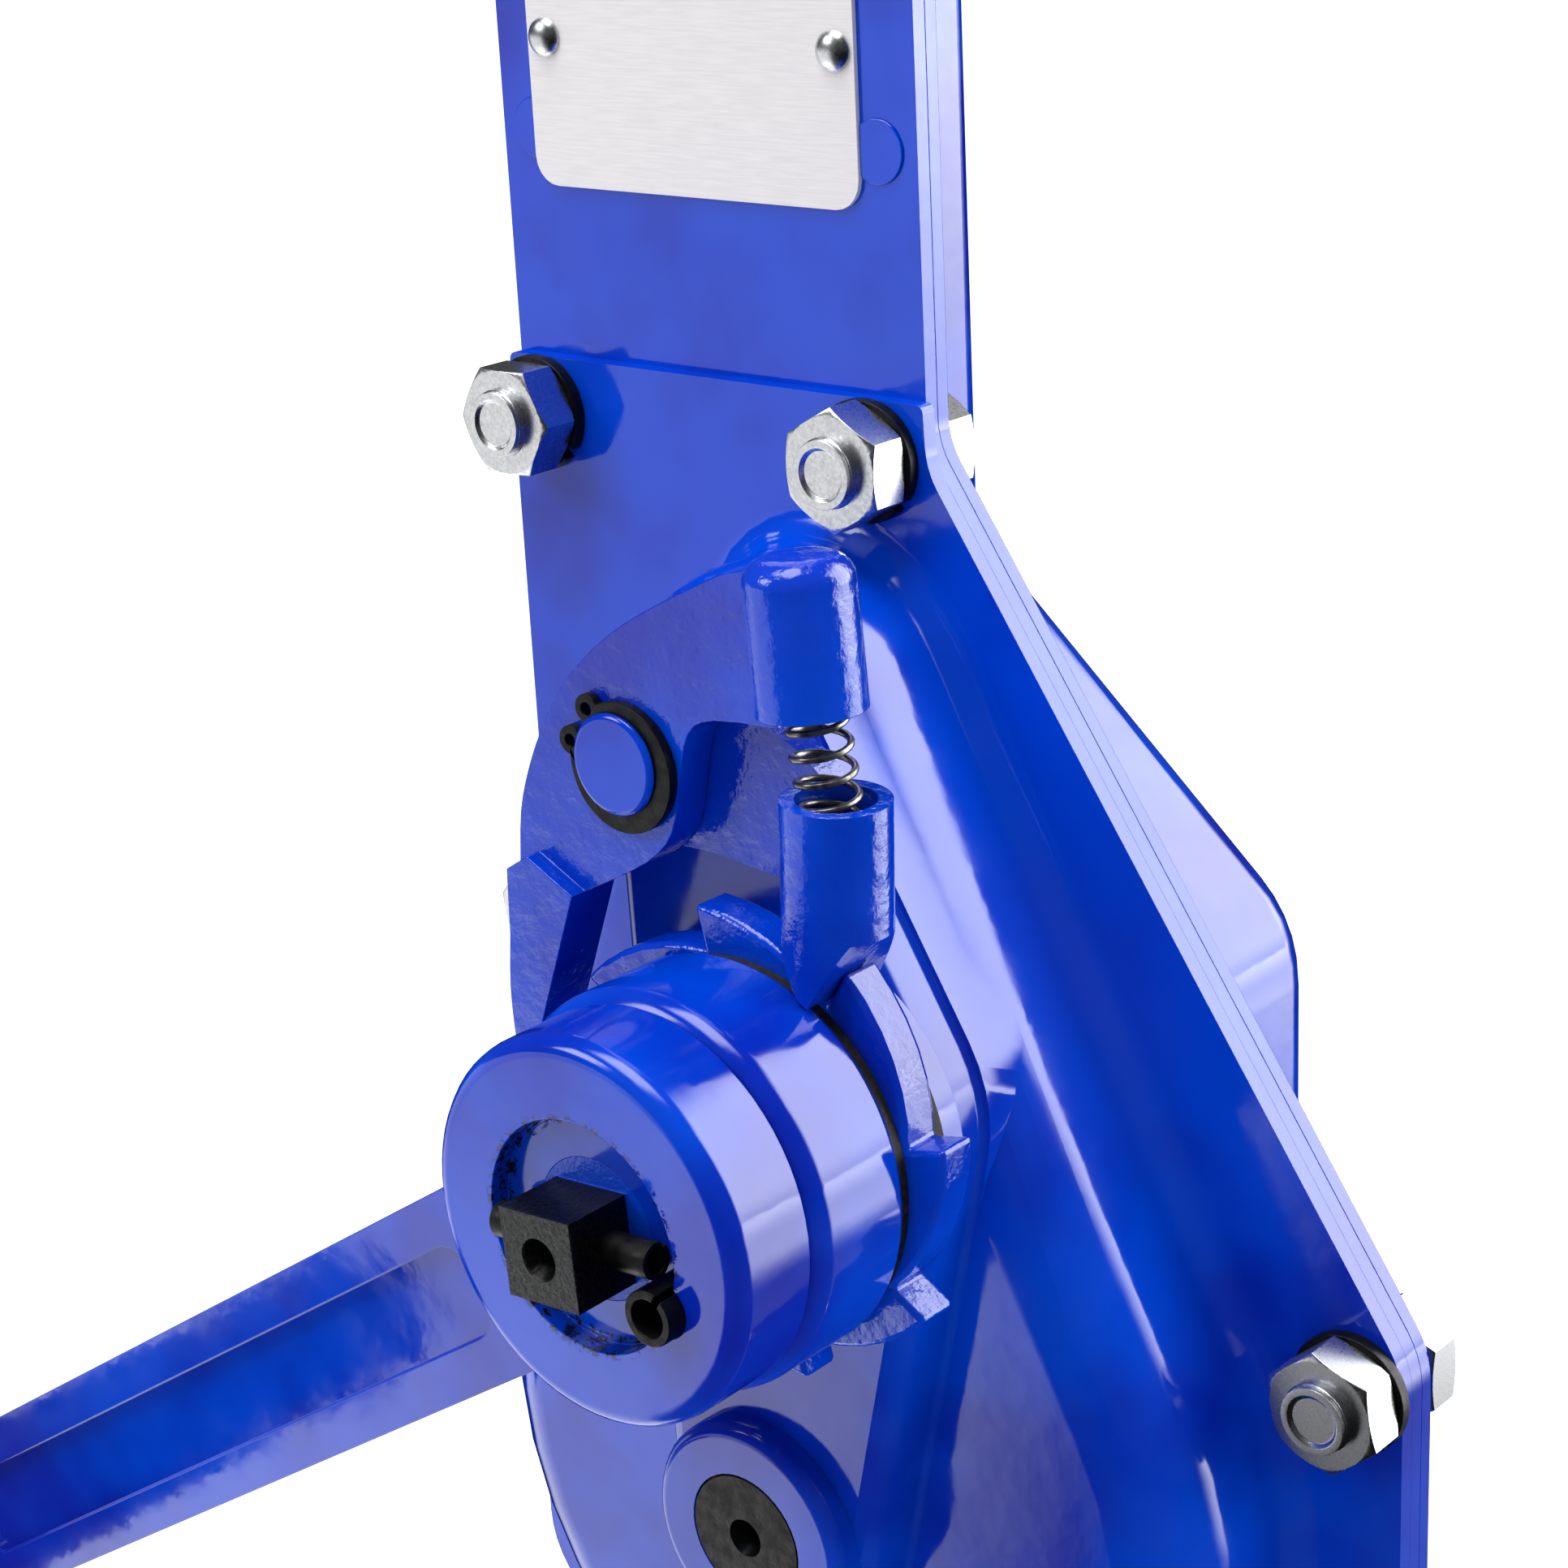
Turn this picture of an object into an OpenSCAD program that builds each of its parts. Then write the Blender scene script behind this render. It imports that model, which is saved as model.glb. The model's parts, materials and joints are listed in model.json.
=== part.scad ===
// Rack and pinion jack: the toothed rack stands on its foot and the geared casing climbs it.
// Millimetres, +Z up, front at -Y. The origin is under the foot, on the rack's centre plane.

/* [Heights and travel] */
// Travel of the casing on the rack
lift_travel = 350; // [250:10:360]
// Height of the crank axis above the ground, lowered
crank_height = 300; // [290:1:320]
// Height of the casing's open lower end, lowered
casing_bottom = 58; // [54:1:64]
// Height of the casing's upper end, lowered
casing_top = 668; // [655:1:700]
// Height of the horned head's points above the casing
head_rise = 57; // [52:1:64]

/* [Rack] */
// Rack thickness, front to back
rack_depth = 30; // [28:0.5:31]
// Rack body between its back and the tooth roots
rack_body = 25; // [23:0.5:25]
// Place of the rack's back, left of the casing's centre line
rack_back = 17; // [16.5:0.1:17.4]
// Play between the rack and the casing, front and back
rack_play = 0.5; // [0.3:0.1:1]
// Module of the rack teeth
rack_module = 6; // [5.5:0.25:6.5]
// Teeth on the lifting pinion
pinion_teeth = 6; // [6:1:7]
// Tooth backlash of the lifting pinion
rack_backlash = 0.3; // [0.2:0.05:0.6]
// Tip radius of the lifting pinion beyond its pitch circle
pinion_addendum = 7.2; // [6.5:0.1:7.6]

/* [Gear stage] */
// Module of the gear stage
gear_module = 2.5; // [2.25:0.05:2.6]
// Teeth on the gear wheel
gear_teeth = 48; // [44:1:50]
// Teeth on the crank pinion
drive_teeth = 10; // [9:1:11]
// Backlash of the gear stage
gear_backlash = 0.25; // [0.15:0.05:0.4]
// Face width of the gear wheel
gear_face = 18; // [14:0.5:19]
// Sideways offset of the crank axis from the gear axis
crank_offset = 13.5; // [10:0.5:16]

/* [Casing] */
// Sheet thickness of the casing
sheet = 2.6; // [2.3:0.1:3]
// Width of the upper casing over its flanges
casing_width = 80; // [76:1:86]
// Width of the rear channel that holds the rack
channel_width = 46; // [46:0.5:47]
// Bend radius of the rear channel
channel_bend = 5; // [4:0.5:6.5]
// Reach of the cover above the crank axis
cover_above = 92; // [88:1:96]
// Depth of the cover's drawn bulge over its flange
bulge_depth = 27.4; // [26:0.2:30]
// Height of the bearing pad over the bulge
pad_depth = 10; // [8:0.5:12]
// Height of the gear bearing boss over the pad
boss_depth = 4.5; // [3:0.5:6]
// Radius of the gear bearing boss
boss_r = 18; // [16:0.5:20]
// Room between the gear wheel's tips and the bulge wall
gear_room = 4.4; // [3:0.2:6]
// Width of the bolted flange outside the bulge
flange_width = 17.5; // [17:0.5:20]

/* [Fasteners] */
// Bolt diameter
bolt_d = 10; // [8:1:10]
// Width across flats of nuts and bolt heads
nut_af = 16; // [15:0.5:17]
// Nut height
nut_h = 7; // [6:0.5:9]
// Bolt head height
bolt_head_h = 6.4; // [5:0.2:8]
// Distance of a bolt from the flange's edge
bolt_inset = 6.5; // [6.5:0.1:7.5]
// Spring washer thickness
washer_t = 2; // [1.6:0.2:3]
// Spring washer outer diameter
washer_d = 18; // [16:0.5:19]

/* [Nameplate] */
// Nameplate width
nameplate_w = 63; // [50:1:66]
// Nameplate height
nameplate_h = 100; // [70:1:120]
// Nameplate sheet thickness
nameplate_t = 0.8; // [0.5:0.1:1.2]
// Height of the nameplate's lower edge above the crank axis
nameplate_above = 118; // [110:1:130]
// Rivet head diameter
rivet_d = 6; // [4:0.5:7]

/* [Ratchet and brake] */
// Tip radius of the ratchet wheel
ratchet_r = 34.5; // [34:0.1:35]
// Root radius of the ratchet wheel
ratchet_root_r = 28.1; // [27.8:0.1:28.4]
// Thickness of the ratchet wheel
ratchet_t = 6.5; // [6:0.1:7]
// Thickness of a friction disc
lining_t = 2; // [1.6:0.1:2.2]
// Thickness of the rear pressure flange
flange_t = 4.3; // [3.8:0.1:4.6]
// Radius of the brake hub
brake_hub_r = 28.6; // [27:0.1:28.6]
// Length of the brake hub
brake_hub_len = 17.7; // [15:0.1:20]

/* [Pawls] */
// Place of the pawl pin, left of the crank axis
pin_left = 21.6; // [21:0.1:22]
// Place of the pawl pin, above the crank axis
pin_up = 50.8; // [50.4:0.1:51.4]
// Diameter of the pawl pin
pawl_pin_d = 14.8; // [13:0.1:15]
// Radius of the spring cup and cap
cup_r = 7.5; // [7.2:0.1:8]
// Bore of the spring cup and cap
cup_bore_d = 11; // [10.6:0.1:11.4]
// Outer diameter of the pawl spring
spring_d = 9; // [8.6:0.1:9.2]
// Wire diameter of the pawl spring
wire_d = 1; // [0.9:0.05:1.2]
// Curls of the pawl spring
spring_curls = 8.5; // [7:0.5:9]
// Thickness of the hook pawl's plate
hook_t = 6; // [5.5:0.1:6.2]
// Thickness of the push pawl's plate
push_t = 4.4; // [4:0.1:4.6]

/* [Crank] */
// Crank radius from the hub to the grip's axis
crank_radius = 220; // [180:5:250]
// Direction of the crank arm at rest, seen from the front
crank_angle = 213; // [190:1:235]
// Radius of the crank's eye
eye_r = 27.3; // [24:0.1:27.6]
// Length of the crank's eye
eye_len = 13.7; // [12:0.1:15]
// Width of the crank arm
arm_width = 28; // [24:0.5:30]
// Thickness of the crank arm
arm_t = 7.5; // [6:0.5:9]
// Width across flats of the square shaft end
square_w = 12.5; // [12:0.5:14]
// Grip length
grip_len = 112; // [95:1:130]
// Grip diameter
grip_d = 30; // [26:1:34]

/* [Foot, claw and head] */
// Foot plate length, left to right
foot_len = 140; // [130:1:160]
// Foot plate width, front to back
foot_width = 116; // [110:1:140]
// Foot plate thickness
foot_t = 12; // [10:0.5:15]
// Reach of the claw from the casing's centre line
claw_reach = 106; // [95:1:115]
// Height of the claw's load face, lowered
claw_height = 80; // [76:1:88]
// Width of the claw
claw_width = 52; // [50:1:56]
// Radius of the swivelling head
head_r = 31; // [28:1:33]

/* [Hidden] */
$fn = 64;
// Overrun of cuts, gap between pieces that move past each other, play of a shaft in its hole
over = 2;
gap = 0.3;
fit = 0.05;
// Radial room where a shaft passes through a wall
shaft_room = 2;
blue = "#1238c0";
zinc = "#c9ccd0";
black_steel = "#26282b";
bare_steel = "#8b8d90";
bronze = "#a9824b";
pressure_angle = 20;

function polar(r, a) = [r * cos(a), r * sin(a)];
function unit(v) = v / norm(v);
function turned(a) = (a + 540) % 360 - 180;

// One corner b between neighbours a and c, rounded to radius r with n steps
function corner(a, b, c, r, n) =
    r <= 0 ? [b] :
    let (u = unit(a - b),
         w = unit(c - b),
         half = acos(u * w) / 2,
         middle = b + unit(u + w) * r / sin(half),
         from = b + u * r / tan(half) - middle,
         to = b + w * r / tan(half) - middle,
         start = atan2(from[1], from[0]),
         sweep = turned(atan2(to[1], to[0]) - start))
    [for (i = [0:n]) middle + polar(r, start + sweep * i / n)];

// Closed outline with a radius at each corner
function rounded(points, radii, n = 5) =
    let (count = len(points))
    [for (i = [0:count - 1])
        each corner(points[(i + count - 1) % count], points[i], points[(i + 1) % count], radii[i], n)];

// Point at share t of the way from b to c, on a smooth curve through a, b, c and d
function spline(a, b, c, d, t) =
    (2 * b + (c - a) * t + (2 * a - 5 * b + 4 * c - d) * t * t + (3 * b - a - 3 * c + d) * pow(t, 3)) / 2;

// Closed smooth curve through the points, n steps from one to the next
function smooth(points, n = 4) =
    let (count = len(points))
    [for (i = [0:count - 1], s = [0:n - 1])
        let (a = points[(i + count - 1) % count],
             b = points[i],
             c = points[(i + 1) % count],
             d = points[(i + 2) % count])
        spline(a, b, c, d, s / n)];

// Open smooth curve through the points, n steps from one to the next
function smooth_open(points, n = 3) =
    let (last = len(points) - 1)
    [for (i = [0:last - 1], s = [0:i == last - 1 ? n : n - 1])
        let (a = points[max(i - 1, 0)],
             b = points[i],
             c = points[i + 1],
             d = points[min(i + 2, last)])
        spline(a, b, c, d, s / n)];

// Direction in which the straight side from disc a to disc b faces
function side_angle(a, b) =
    let (step = [b[0] - a[0], b[1] - a[1]])
    atan2(step[1], step[0]) - acos((a[2] - b[2]) / norm(step));

// Outline of a belt round discs [x, y, r] in turn, grown by the given distance
function belt(discs, grow = 0, step = 10) =
    let (count = len(discs))
    [for (i = [0:count - 1])
        let (disc = discs[i],
             from = side_angle(discs[(i + count - 1) % count], disc),
             sweep = (side_angle(disc, discs[(i + 1) % count]) - from + 720) % 360,
             n = max(1, ceil(sweep / step)))
        each [for (s = [0:n]) [disc[0], disc[1]] + polar(disc[2] + grow, from + sweep * s / n)]];

// A solid skin over rings of equally many points, each anticlockwise as seen from the last ring
module skin(rings) {
    n = len(rings[0]);
    last = len(rings) - 1;
    sides = [for (k = [0:last - 1], i = [0:n - 1])
        let (a = k * n + i,
             b = k * n + (i + 1) % n)
        each [[a, a + n, b + n], [a, b + n, b]]];
    ends = [[for (i = [0:n - 1]) i], [for (i = [n - 1:-1:0]) last * n + i]];
    polyhedron(points = [for (ring = rings) each ring], faces = concat(sides, ends));
}

// Angles of a quarter turn
function quarter(steps) = [for (i = [0:steps]) 90 * i / steps];

// Profile [level, grow] of a drawn wall: fillet at its foot, shoulder at its top
function drawn_profile(low, foot, top, foot_r, shoulder_r, steps = 4) = concat(
    [[low, foot_r]],
    foot_r > 0 ? [for (a = quarter(steps)) [foot + foot_r * (1 - cos(a)), foot_r * (1 - sin(a))]] : [],
    [for (a = quarter(steps)) [top - shoulder_r * (1 - sin(a)), -shoulder_r * (1 - cos(a))]]);

// A drawn form that rises from the front view towards -Y, its levels measured as -y
module drawn(discs, profile, grow = 0) {
    rotate([90, 0, 0])
        skin([for (level = profile) [for (p = belt(discs, grow + level[1])) [p[0], p[1], level[0]]]]);
}

// A front view outline, standing between y and y + t
module slab(y, t) {
    translate([0, y + t, 0]) rotate([90, 0, 0]) linear_extrude(t) children();
}

// A cylinder along Y between y and y + t
module rod(y, t, r) {
    translate([0, y + t, 0]) rotate([90, 0, 0]) cylinder(h = t, r = r);
}

// A disc along Y whose front edge is rounded and whose wall flares towards the back
module domed_disc(y, t, r, round, flare) {
    outline = concat(
        [[0, 0]],
        [for (i = [0:4]) [r - round + round * sin(90 * i / 4), round - round * cos(90 * i / 4)]],
        [[r + flare, t], [0, t]]);
    translate([0, y, 0]) rotate([-90, 0, 0]) rotate_extrude() polygon(outline);
}

// Levels along Y, front at -Y
plate_back = -(rack_depth / 2 + rack_play);
plate_front = plate_back - sheet;
flange_front = plate_front - sheet;
bulge_front = flange_front - bulge_depth;
pad_front = bulge_front - pad_depth;
boss_front = pad_front - boss_depth;
pressure_front = pad_front - gap - flange_t;
ratchet_back = pressure_front - lining_t - gap / 2;
ratchet_front = ratchet_back - ratchet_t;
hub_back = ratchet_front - lining_t - gap / 2;
hub_front = hub_back - brake_hub_len;
eye_front = hub_front - eye_len;
channel_back = -plate_back + sheet;
casing_flange_back = plate_back + sheet;

// Rack and pinion stage
pinion_r = rack_module * pinion_teeth / 2;
pinion_shift = 1 - pinion_teeth * pow(sin(pressure_angle), 2) / 2;
pinion_tip_r = pinion_r + pinion_addendum;
rack_line = pinion_r + pinion_shift * rack_module;
rack_tip = rack_line - rack_module;
tooth_room = 0.8 / 6 * rack_module;
rack_root = pinion_tip_r + tooth_room;
pinion_root_r = rack_tip - tooth_room;
rack_pitch = PI * rack_module;
gear_x = rack_body - rack_back + rack_root;

// Gear stage
gear_r = gear_module * gear_teeth / 2;
drive_r = gear_module * drive_teeth / 2;
gear_shift = 0.4;
drive_tip_r = drive_r + gear_module * (1 + gear_shift) - 0.06 * gear_module;
gear_tip_r = gear_r + gear_module * (1 - gear_shift) - 0.06 * gear_module;
axis_distance = gear_r + drive_r;
crank_x = gear_x + crank_offset;
gear_z = crank_height - sqrt(pow(axis_distance, 2) - pow(crank_offset, 2));
line_angle = atan2(crank_height - gear_z, crank_offset);
bulge_r = gear_tip_r + gear_room + sheet;

function roll(angle) = tan(angle) * 180 / PI - angle;

// Half the angle that a tooth covers at radius r
function tooth_half(r, teeth, module_, shift, backlash) =
    let (pitch = module_ * teeth / 2,
         base = pitch * cos(pressure_angle),
         at = acos(min(1, base / r)))
    90 / teeth + 2 * shift * tan(pressure_angle) / teeth * 180 / PI + roll(pressure_angle) - roll(at)
        - backlash / pitch / 2 * 180 / PI;

// Outline of a spur gear: involute flanks, straight to the root below the base circle
function gear_outline(teeth, module_, shift, tip, root, backlash, steps = 4) =
    let (base = module_ * teeth / 2 * cos(pressure_angle),
         low = max(base, root))
    [for (tooth = [0:teeth - 1])
        let (middle = 360 * tooth / teeth,
             foot = tooth_half(low, teeth, module_, shift, backlash))
        each concat(
            root < low ? [polar(root, middle - foot)] : [],
            [for (i = [0:steps]) let (r = low + (tip - low) * i / steps)
                polar(r, middle - tooth_half(r, teeth, module_, shift, backlash))],
            [for (i = [0:steps]) let (r = tip + (low - tip) * i / steps)
                polar(r, middle + tooth_half(r, teeth, module_, shift, backlash))],
            root < low ? [polar(root, middle + foot)] : [])];

// Outlines of the casing, seen from the front
flange_half = casing_width / 2;
bulge_edge = bulge_r + flange_width;
corner_round = 12;
cover_top = crank_height + cover_above;
pin_x = crank_x - pin_left;
pin_z = crank_height + pin_up;

// Discs [x, z, r] that the bulge, the pad and the rear bulge are drawn around
bulge_discs = [
    [gear_x, gear_z, bulge_r],
    [crank_x - 0.353 * bulge_r, crank_height + 0.685 * bulge_r, 0.344 * bulge_r]];
pad_discs = [
    [gear_x, gear_z, 1.08 * boss_r],
    [crank_x, crank_height, 0.64 * ratchet_r],
    [pin_x, pin_z, pawl_pin_d]];
rear_discs = [
    [gear_x + 0.386 * bulge_r, gear_z - 0.566 * bulge_r, 0.322 * bulge_r],
    [gear_x + 0.386 * bulge_r, crank_height + 0.032 * bulge_r, 0.322 * bulge_r],
    [0.08 * channel_width, crank_height + 0.947 * bulge_r, 0.205 * bulge_r],
    [0.08 * channel_width, gear_z - 0.654 * bulge_r, 0.205 * bulge_r]];
bulge_foot_r = 2 * sheet;
bulge_shoulder_r = 4.6 * sheet;
rear_shoulder_r = 3 * sheet;

// The right edge: down beside the tube, then slanting to the wide part
slant_top = [1.045 * flange_half, cover_top - 0.1 * cover_above];
slant_low = [gear_x + bulge_edge, gear_z + 0.53 * bulge_r];
left_low = gear_z - 0.8 * bulge_r;
right_low = gear_z - 0.62 * bulge_r;

function cover_outline() = rounded([
    [-flange_half, cover_top],
    [1.035 * flange_half, cover_top],
    slant_top,
    slant_low,
    [gear_x + bulge_edge, right_low],
    [gear_x + 0.55 * bulge_r, gear_z - bulge_edge],
    [gear_x - 0.8 * bulge_r, gear_z - bulge_edge],
    [gear_x - bulge_edge, left_low],
    [gear_x - bulge_edge, gear_z + 0.48 * bulge_r],
    [-flange_half, gear_z + 0.82 * bulge_r]],
    corner_round * [0.1, 0.1, 1, 1.2, 1.5, 1.5, 1.5, 1.5, 1, 1]);

module cover_shape() {
    polygon(cover_outline());
}

// Outline of the plate and of the rear casing's flange: the cover's below, the tube's above
function casing_outline() =
    let (left = gear_x - bulge_edge,
         right = gear_x + bulge_edge,
         low = gear_z - bulge_edge,
         slope = (slant_top[1] - slant_low[1]) / (slant_low[0] - slant_top[0]),
         down = (-flange_half - left) / (gear_x - 0.8 * bulge_r - left))
    rounded([
        [-flange_half, casing_bottom],
        [flange_half, casing_bottom],
        [flange_half, low],
        [gear_x + 0.55 * bulge_r, low],
        [right, right_low],
        slant_low,
        [flange_half, slant_top[1] + slope * (slant_top[0] - flange_half)],
        [flange_half, casing_top],
        [-flange_half, casing_top],
        [-flange_half, gear_z + 0.82 * bulge_r],
        [left, gear_z + 0.48 * bulge_r],
        [left, left_low],
        [-flange_half, left_low + down * (low - left_low)]],
        corner_round * [0, 0, 0.5, 1.5, 1.5, 1.2, 1, 0, 0, 1, 1, 1.5, 0.5]);

// Places of the cover bolts, seen from the front
bolt_places = [
    [-flange_half + bolt_inset, cover_top - bolt_inset - 0.14 * nut_af],
    [flange_half - bolt_inset - 0.125 * nut_af, cover_top - bolt_inset - 0.14 * nut_af],
    [-flange_half + bolt_inset, crank_height + 0.03 * bulge_r],
    [gear_x + bulge_edge - 1.2 * bolt_inset, gear_z + 0.46 * bulge_r],
    [gear_x + bulge_edge - 1.2 * bolt_inset, gear_z - 0.5 * bulge_r],
    [-flange_half + bolt_inset, gear_z - 0.89 * bulge_r],
    [gear_x + 0.5 * bulge_r, gear_z - bulge_edge + 1.2 * bolt_inset]];
nut_turns = [0, 30, 14, 20, 8, 40, 52];

module at_bolts() {
    for (place = bolt_places) translate([place[0], 0, place[1]]) children();
}

module at_crank() {
    translate([crank_x, 0, crank_height]) children();
}

module at_gear() {
    translate([gear_x, 0, gear_z]) children();
}

module at_pin() {
    translate([pin_x, 0, pin_z]) children();
}

// Foot
socket_wall = 7;
foot_room = 8;
socket_top = casing_bottom - foot_room;
foot_pin_r = 5;
foot_pin_shares = [0.34, 0.74];
rack_mid = rack_body / 2 - rack_back;

function foot_discs(length, width, r) = [
    for (s = [[1, -1], [1, 1], [-1, 1], [-1, -1]]) [s[0] * (length / 2 - r), s[1] * (width / 2 - r), r]];

module at_foot_pins() {
    for (share = foot_pin_shares) translate([rack_mid, 0, foot_t + share * (socket_top - foot_t)]) children();
}

module foot_plate() {
    edge = 0.25 * foot_t;
    discs = foot_discs(foot_len, foot_width, 1.5 * foot_t);
    color(blue) union() {
        linear_extrude(foot_t - edge) polygon(belt(discs));
        skin([for (level = [[foot_t - 2 * edge, -edge], [foot_t - edge, 0], [foot_t, -edge]])
            [for (p = belt(discs, level[1])) [p[0], p[1], level[0]]]]);
    }
}

module foot_socket() {
    wide = rack_body + 2 * socket_wall;
    deep = rack_depth + 2 * socket_wall;
    color(blue) difference() {
        translate([rack_mid, 0, foot_t]) linear_extrude(socket_top - foot_t)
            polygon(belt(foot_discs(wide, deep, socket_wall)));
        translate([-rack_back, -rack_depth / 2, foot_t - over])
            cube([rack_body, rack_depth, socket_top + 2 * over]);
        at_foot_pins() rod(-deep, 2 * deep, foot_pin_r);
    }
}

module foot_pins() {
    deep = rack_depth + 2 * socket_wall;
    color(zinc) at_foot_pins() rod(-deep / 2, deep, foot_pin_r);
}

// Rack, toothed where the pinion runs
teeth_below = 2;
teeth_above = ceil(lift_travel / rack_pitch) + 1;
rack_top = gear_z + (teeth_above + 0.45) * rack_pitch;

// Half the height of a rack tooth at a distance beyond the rolling line
function rack_half(beyond) = rack_pitch / 4 - rack_backlash / 2 - beyond * tan(pressure_angle);

function rack_outline() =
    let (root_x = rack_body - rack_back,
         tip_x = gear_x - rack_tip,
         wide = rack_half(rack_line - rack_root),
         narrow = rack_half(rack_line - rack_tip))
    concat(
        [[-rack_back, foot_t], [root_x, foot_t]],
        [for (k = [-teeth_below:teeth_above]) let (z = gear_z + k * rack_pitch)
            each [[root_x, z - wide], [tip_x, z - narrow], [tip_x, z + narrow], [root_x, z + wide]]],
        [[root_x, rack_top], [-rack_back, rack_top]]);

module rack() {
    color(bare_steel) difference() {
        slab(-rack_depth / 2, rack_depth) polygon(rack_outline());
        at_foot_pins() rod(-rack_depth, 2 * rack_depth, foot_pin_r);
    }
}

// Shoes between the rack's back and the channel
guide_len = 60;
guide_levels = [casing_bottom, gear_z - guide_len / 2, casing_top - 3.5 * guide_len];

module rack_guides() {
    inner = channel_width / 2 - sheet;
    color(bronze) for (level = guide_levels)
        translate([-inner, -rack_depth / 2, level]) cube([inner - rack_back - gap, rack_depth, guide_len]);
}

// Casing
journal_r = 10;
bush_wall = 4;
bush_r = journal_r + bush_wall;
bush_len = 8;
gear_seat_r = 1.1 * journal_r;
front_inner = bulge_front + sheet;
boss_wall = 2;
rear_boss_depth = 2.7 * sheet;
rear_boss_r = 1.5 * bush_r;

module middle_plate() {
    color(blue) difference() {
        slab(plate_front, sheet) polygon(casing_outline());
        at_bolts() rod(plate_front - over, sheet + 2 * over, bolt_d / 2);
        at_crank() rod(plate_front - over, sheet + 2 * over, journal_r + shaft_room);
        at_gear() rod(plate_front - over, sheet + 2 * over, gear_seat_r + shaft_room);
    }
}

module gear_cover() {
    deep = pad_depth + bulge_depth;
    color(blue) difference() {
        union() {
            slab(flange_front, sheet) cover_shape();
            drawn(bulge_discs, drawn_profile(
                -flange_front - sheet / 2, -flange_front, -bulge_front, bulge_foot_r, bulge_shoulder_r));
            drawn(pad_discs, drawn_profile(
                -bulge_front - bulge_shoulder_r, -bulge_front, -pad_front, sheet / 2, 1.5 * sheet, 3));
            at_gear() domed_disc(boss_front, boss_depth + over, boss_r, boss_depth / 2, 0);
        }
        drawn(bulge_discs,
            drawn_profile(-plate_front - over, 0, -front_inner, 0, bulge_shoulder_r - sheet), -sheet);
        at_bolts() rod(flange_front - over, sheet + 2 * over, bolt_d / 2);
        at_bolts() rod(flange_front - bulge_foot_r, bulge_foot_r, washer_d / 2 + gap / 2);
        at_crank() rod(pad_front - over, deep, journal_r + gap);
        at_crank() rod(pad_front + boss_wall, deep, bush_r);
        at_gear() rod(boss_front - over, deep, journal_r + gap);
        at_gear() rod(boss_front + boss_wall, deep, bush_r);
        at_pin() rod(pad_front - over, deep, pawl_pin_d / 2);
    }
}

module rear_bulge(grow, foot_r, back) {
    low = foot_r > 0 ? plate_back : plate_back - over;
    mirror([0, 1, 0]) drawn(rear_discs,
        drawn_profile(low, casing_flange_back, back, foot_r, rear_shoulder_r + grow), grow);
}

module rear_casing() {
    half = channel_width / 2;
    rise = casing_top - casing_bottom;
    color(blue) difference() {
        union() {
            slab(plate_back, sheet) polygon(casing_outline());
            translate([0, 0, casing_bottom]) linear_extrude(rise) polygon(rounded(
                [[-half, plate_back], [half, plate_back], [half, channel_back], [-half, channel_back]],
                channel_bend * [0, 0, 1, 1], 6));
            rear_bulge(0, sheet, channel_back);
            at_crank() rod(channel_back - sheet, rear_boss_depth + sheet, rear_boss_r);
            at_gear() rod(channel_back - sheet, rear_boss_depth + sheet, rear_boss_r);
        }
        translate([0, 0, casing_bottom - over]) linear_extrude(rise + 2 * over)
            polygon([[sheet - half, plate_back - over], [half - sheet, plate_back - over],
                [half - sheet, -plate_back], [sheet - half, -plate_back]]);
        rear_bulge(-sheet, 0, -plate_back);
        at_bolts() rod(plate_back - over, sheet + 2 * over, bolt_d / 2);
        at_crank() rod(-plate_back - over, bush_len + over, bush_r);
        at_gear() rod(-plate_back - over, bush_len + over, bush_r);
    }
}

weld_r = 4.6;
weld_bead = 0.4;
weld_shares = [0.03, 0.1, 0.604, 0.86, 0.97];

// The claw stands where the left row's lowest welds would be, and the nameplate lies over two others
module plug_welds() {
    rise = casing_top - casing_bottom;
    color(blue) difference() {
        for (share = weld_shares, side = share > 0.5 ? [-1, 1] : [1])
            translate([side * (flange_half - 1.52 * weld_r), 0, casing_bottom + share * rise])
                rod(plate_front - weld_bead, weld_bead, weld_r);
        nameplate_blank(over);
    }
}

// A hexagon along Y whose corners are cut by a cone at both ends
module hexagon(y, t, af) {
    cut = 0.06 * af;
    intersection() {
        translate([0, y + t, 0]) rotate([90, 0, 0]) cylinder(h = t, r = af / sqrt(3), $fn = 6);
        translate([0, y, 0]) rotate([-90, 0, 0]) rotate_extrude() polygon([
            [0, 0], [af / 2, 0], [af / 2 + 2 * cut, cut], [af / 2 + 2 * cut, t - cut], [af / 2, t], [0, t]]);
    }
}

nut_front = flange_front - washer_t - nut_h;
bolt_end = 0.2 * bolt_d;

module cover_bolts() {
    color(zinc) at_bolts() union() {
        rotate([0, 30, 0]) hexagon(casing_flange_back, bolt_head_h, nut_af);
        rod(nut_front - bolt_end, casing_flange_back - nut_front + bolt_end + over, bolt_d / 2);
    }
}

module cover_nuts() {
    color(zinc) for (i = [0:len(bolt_places) - 1])
        translate([bolt_places[i][0], 0, bolt_places[i][1]]) rotate([0, nut_turns[i], 0]) difference() {
            hexagon(nut_front, nut_h, nut_af);
            rod(nut_front - over, nut_h + 2 * over, bolt_d / 2);
        }
}

module spring_washers() {
    slit = 0.1 * washer_d;
    color(black_steel) at_bolts() difference() {
        rod(flange_front - washer_t, washer_t, washer_d / 2);
        rod(flange_front - washer_t - over, washer_t + 2 * over, bolt_d / 2);
        rotate([0, 40, 0]) translate([0, flange_front - washer_t - over, -slit / 2])
            cube([washer_d, washer_t + 2 * over, slit]);
    }
}

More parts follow.
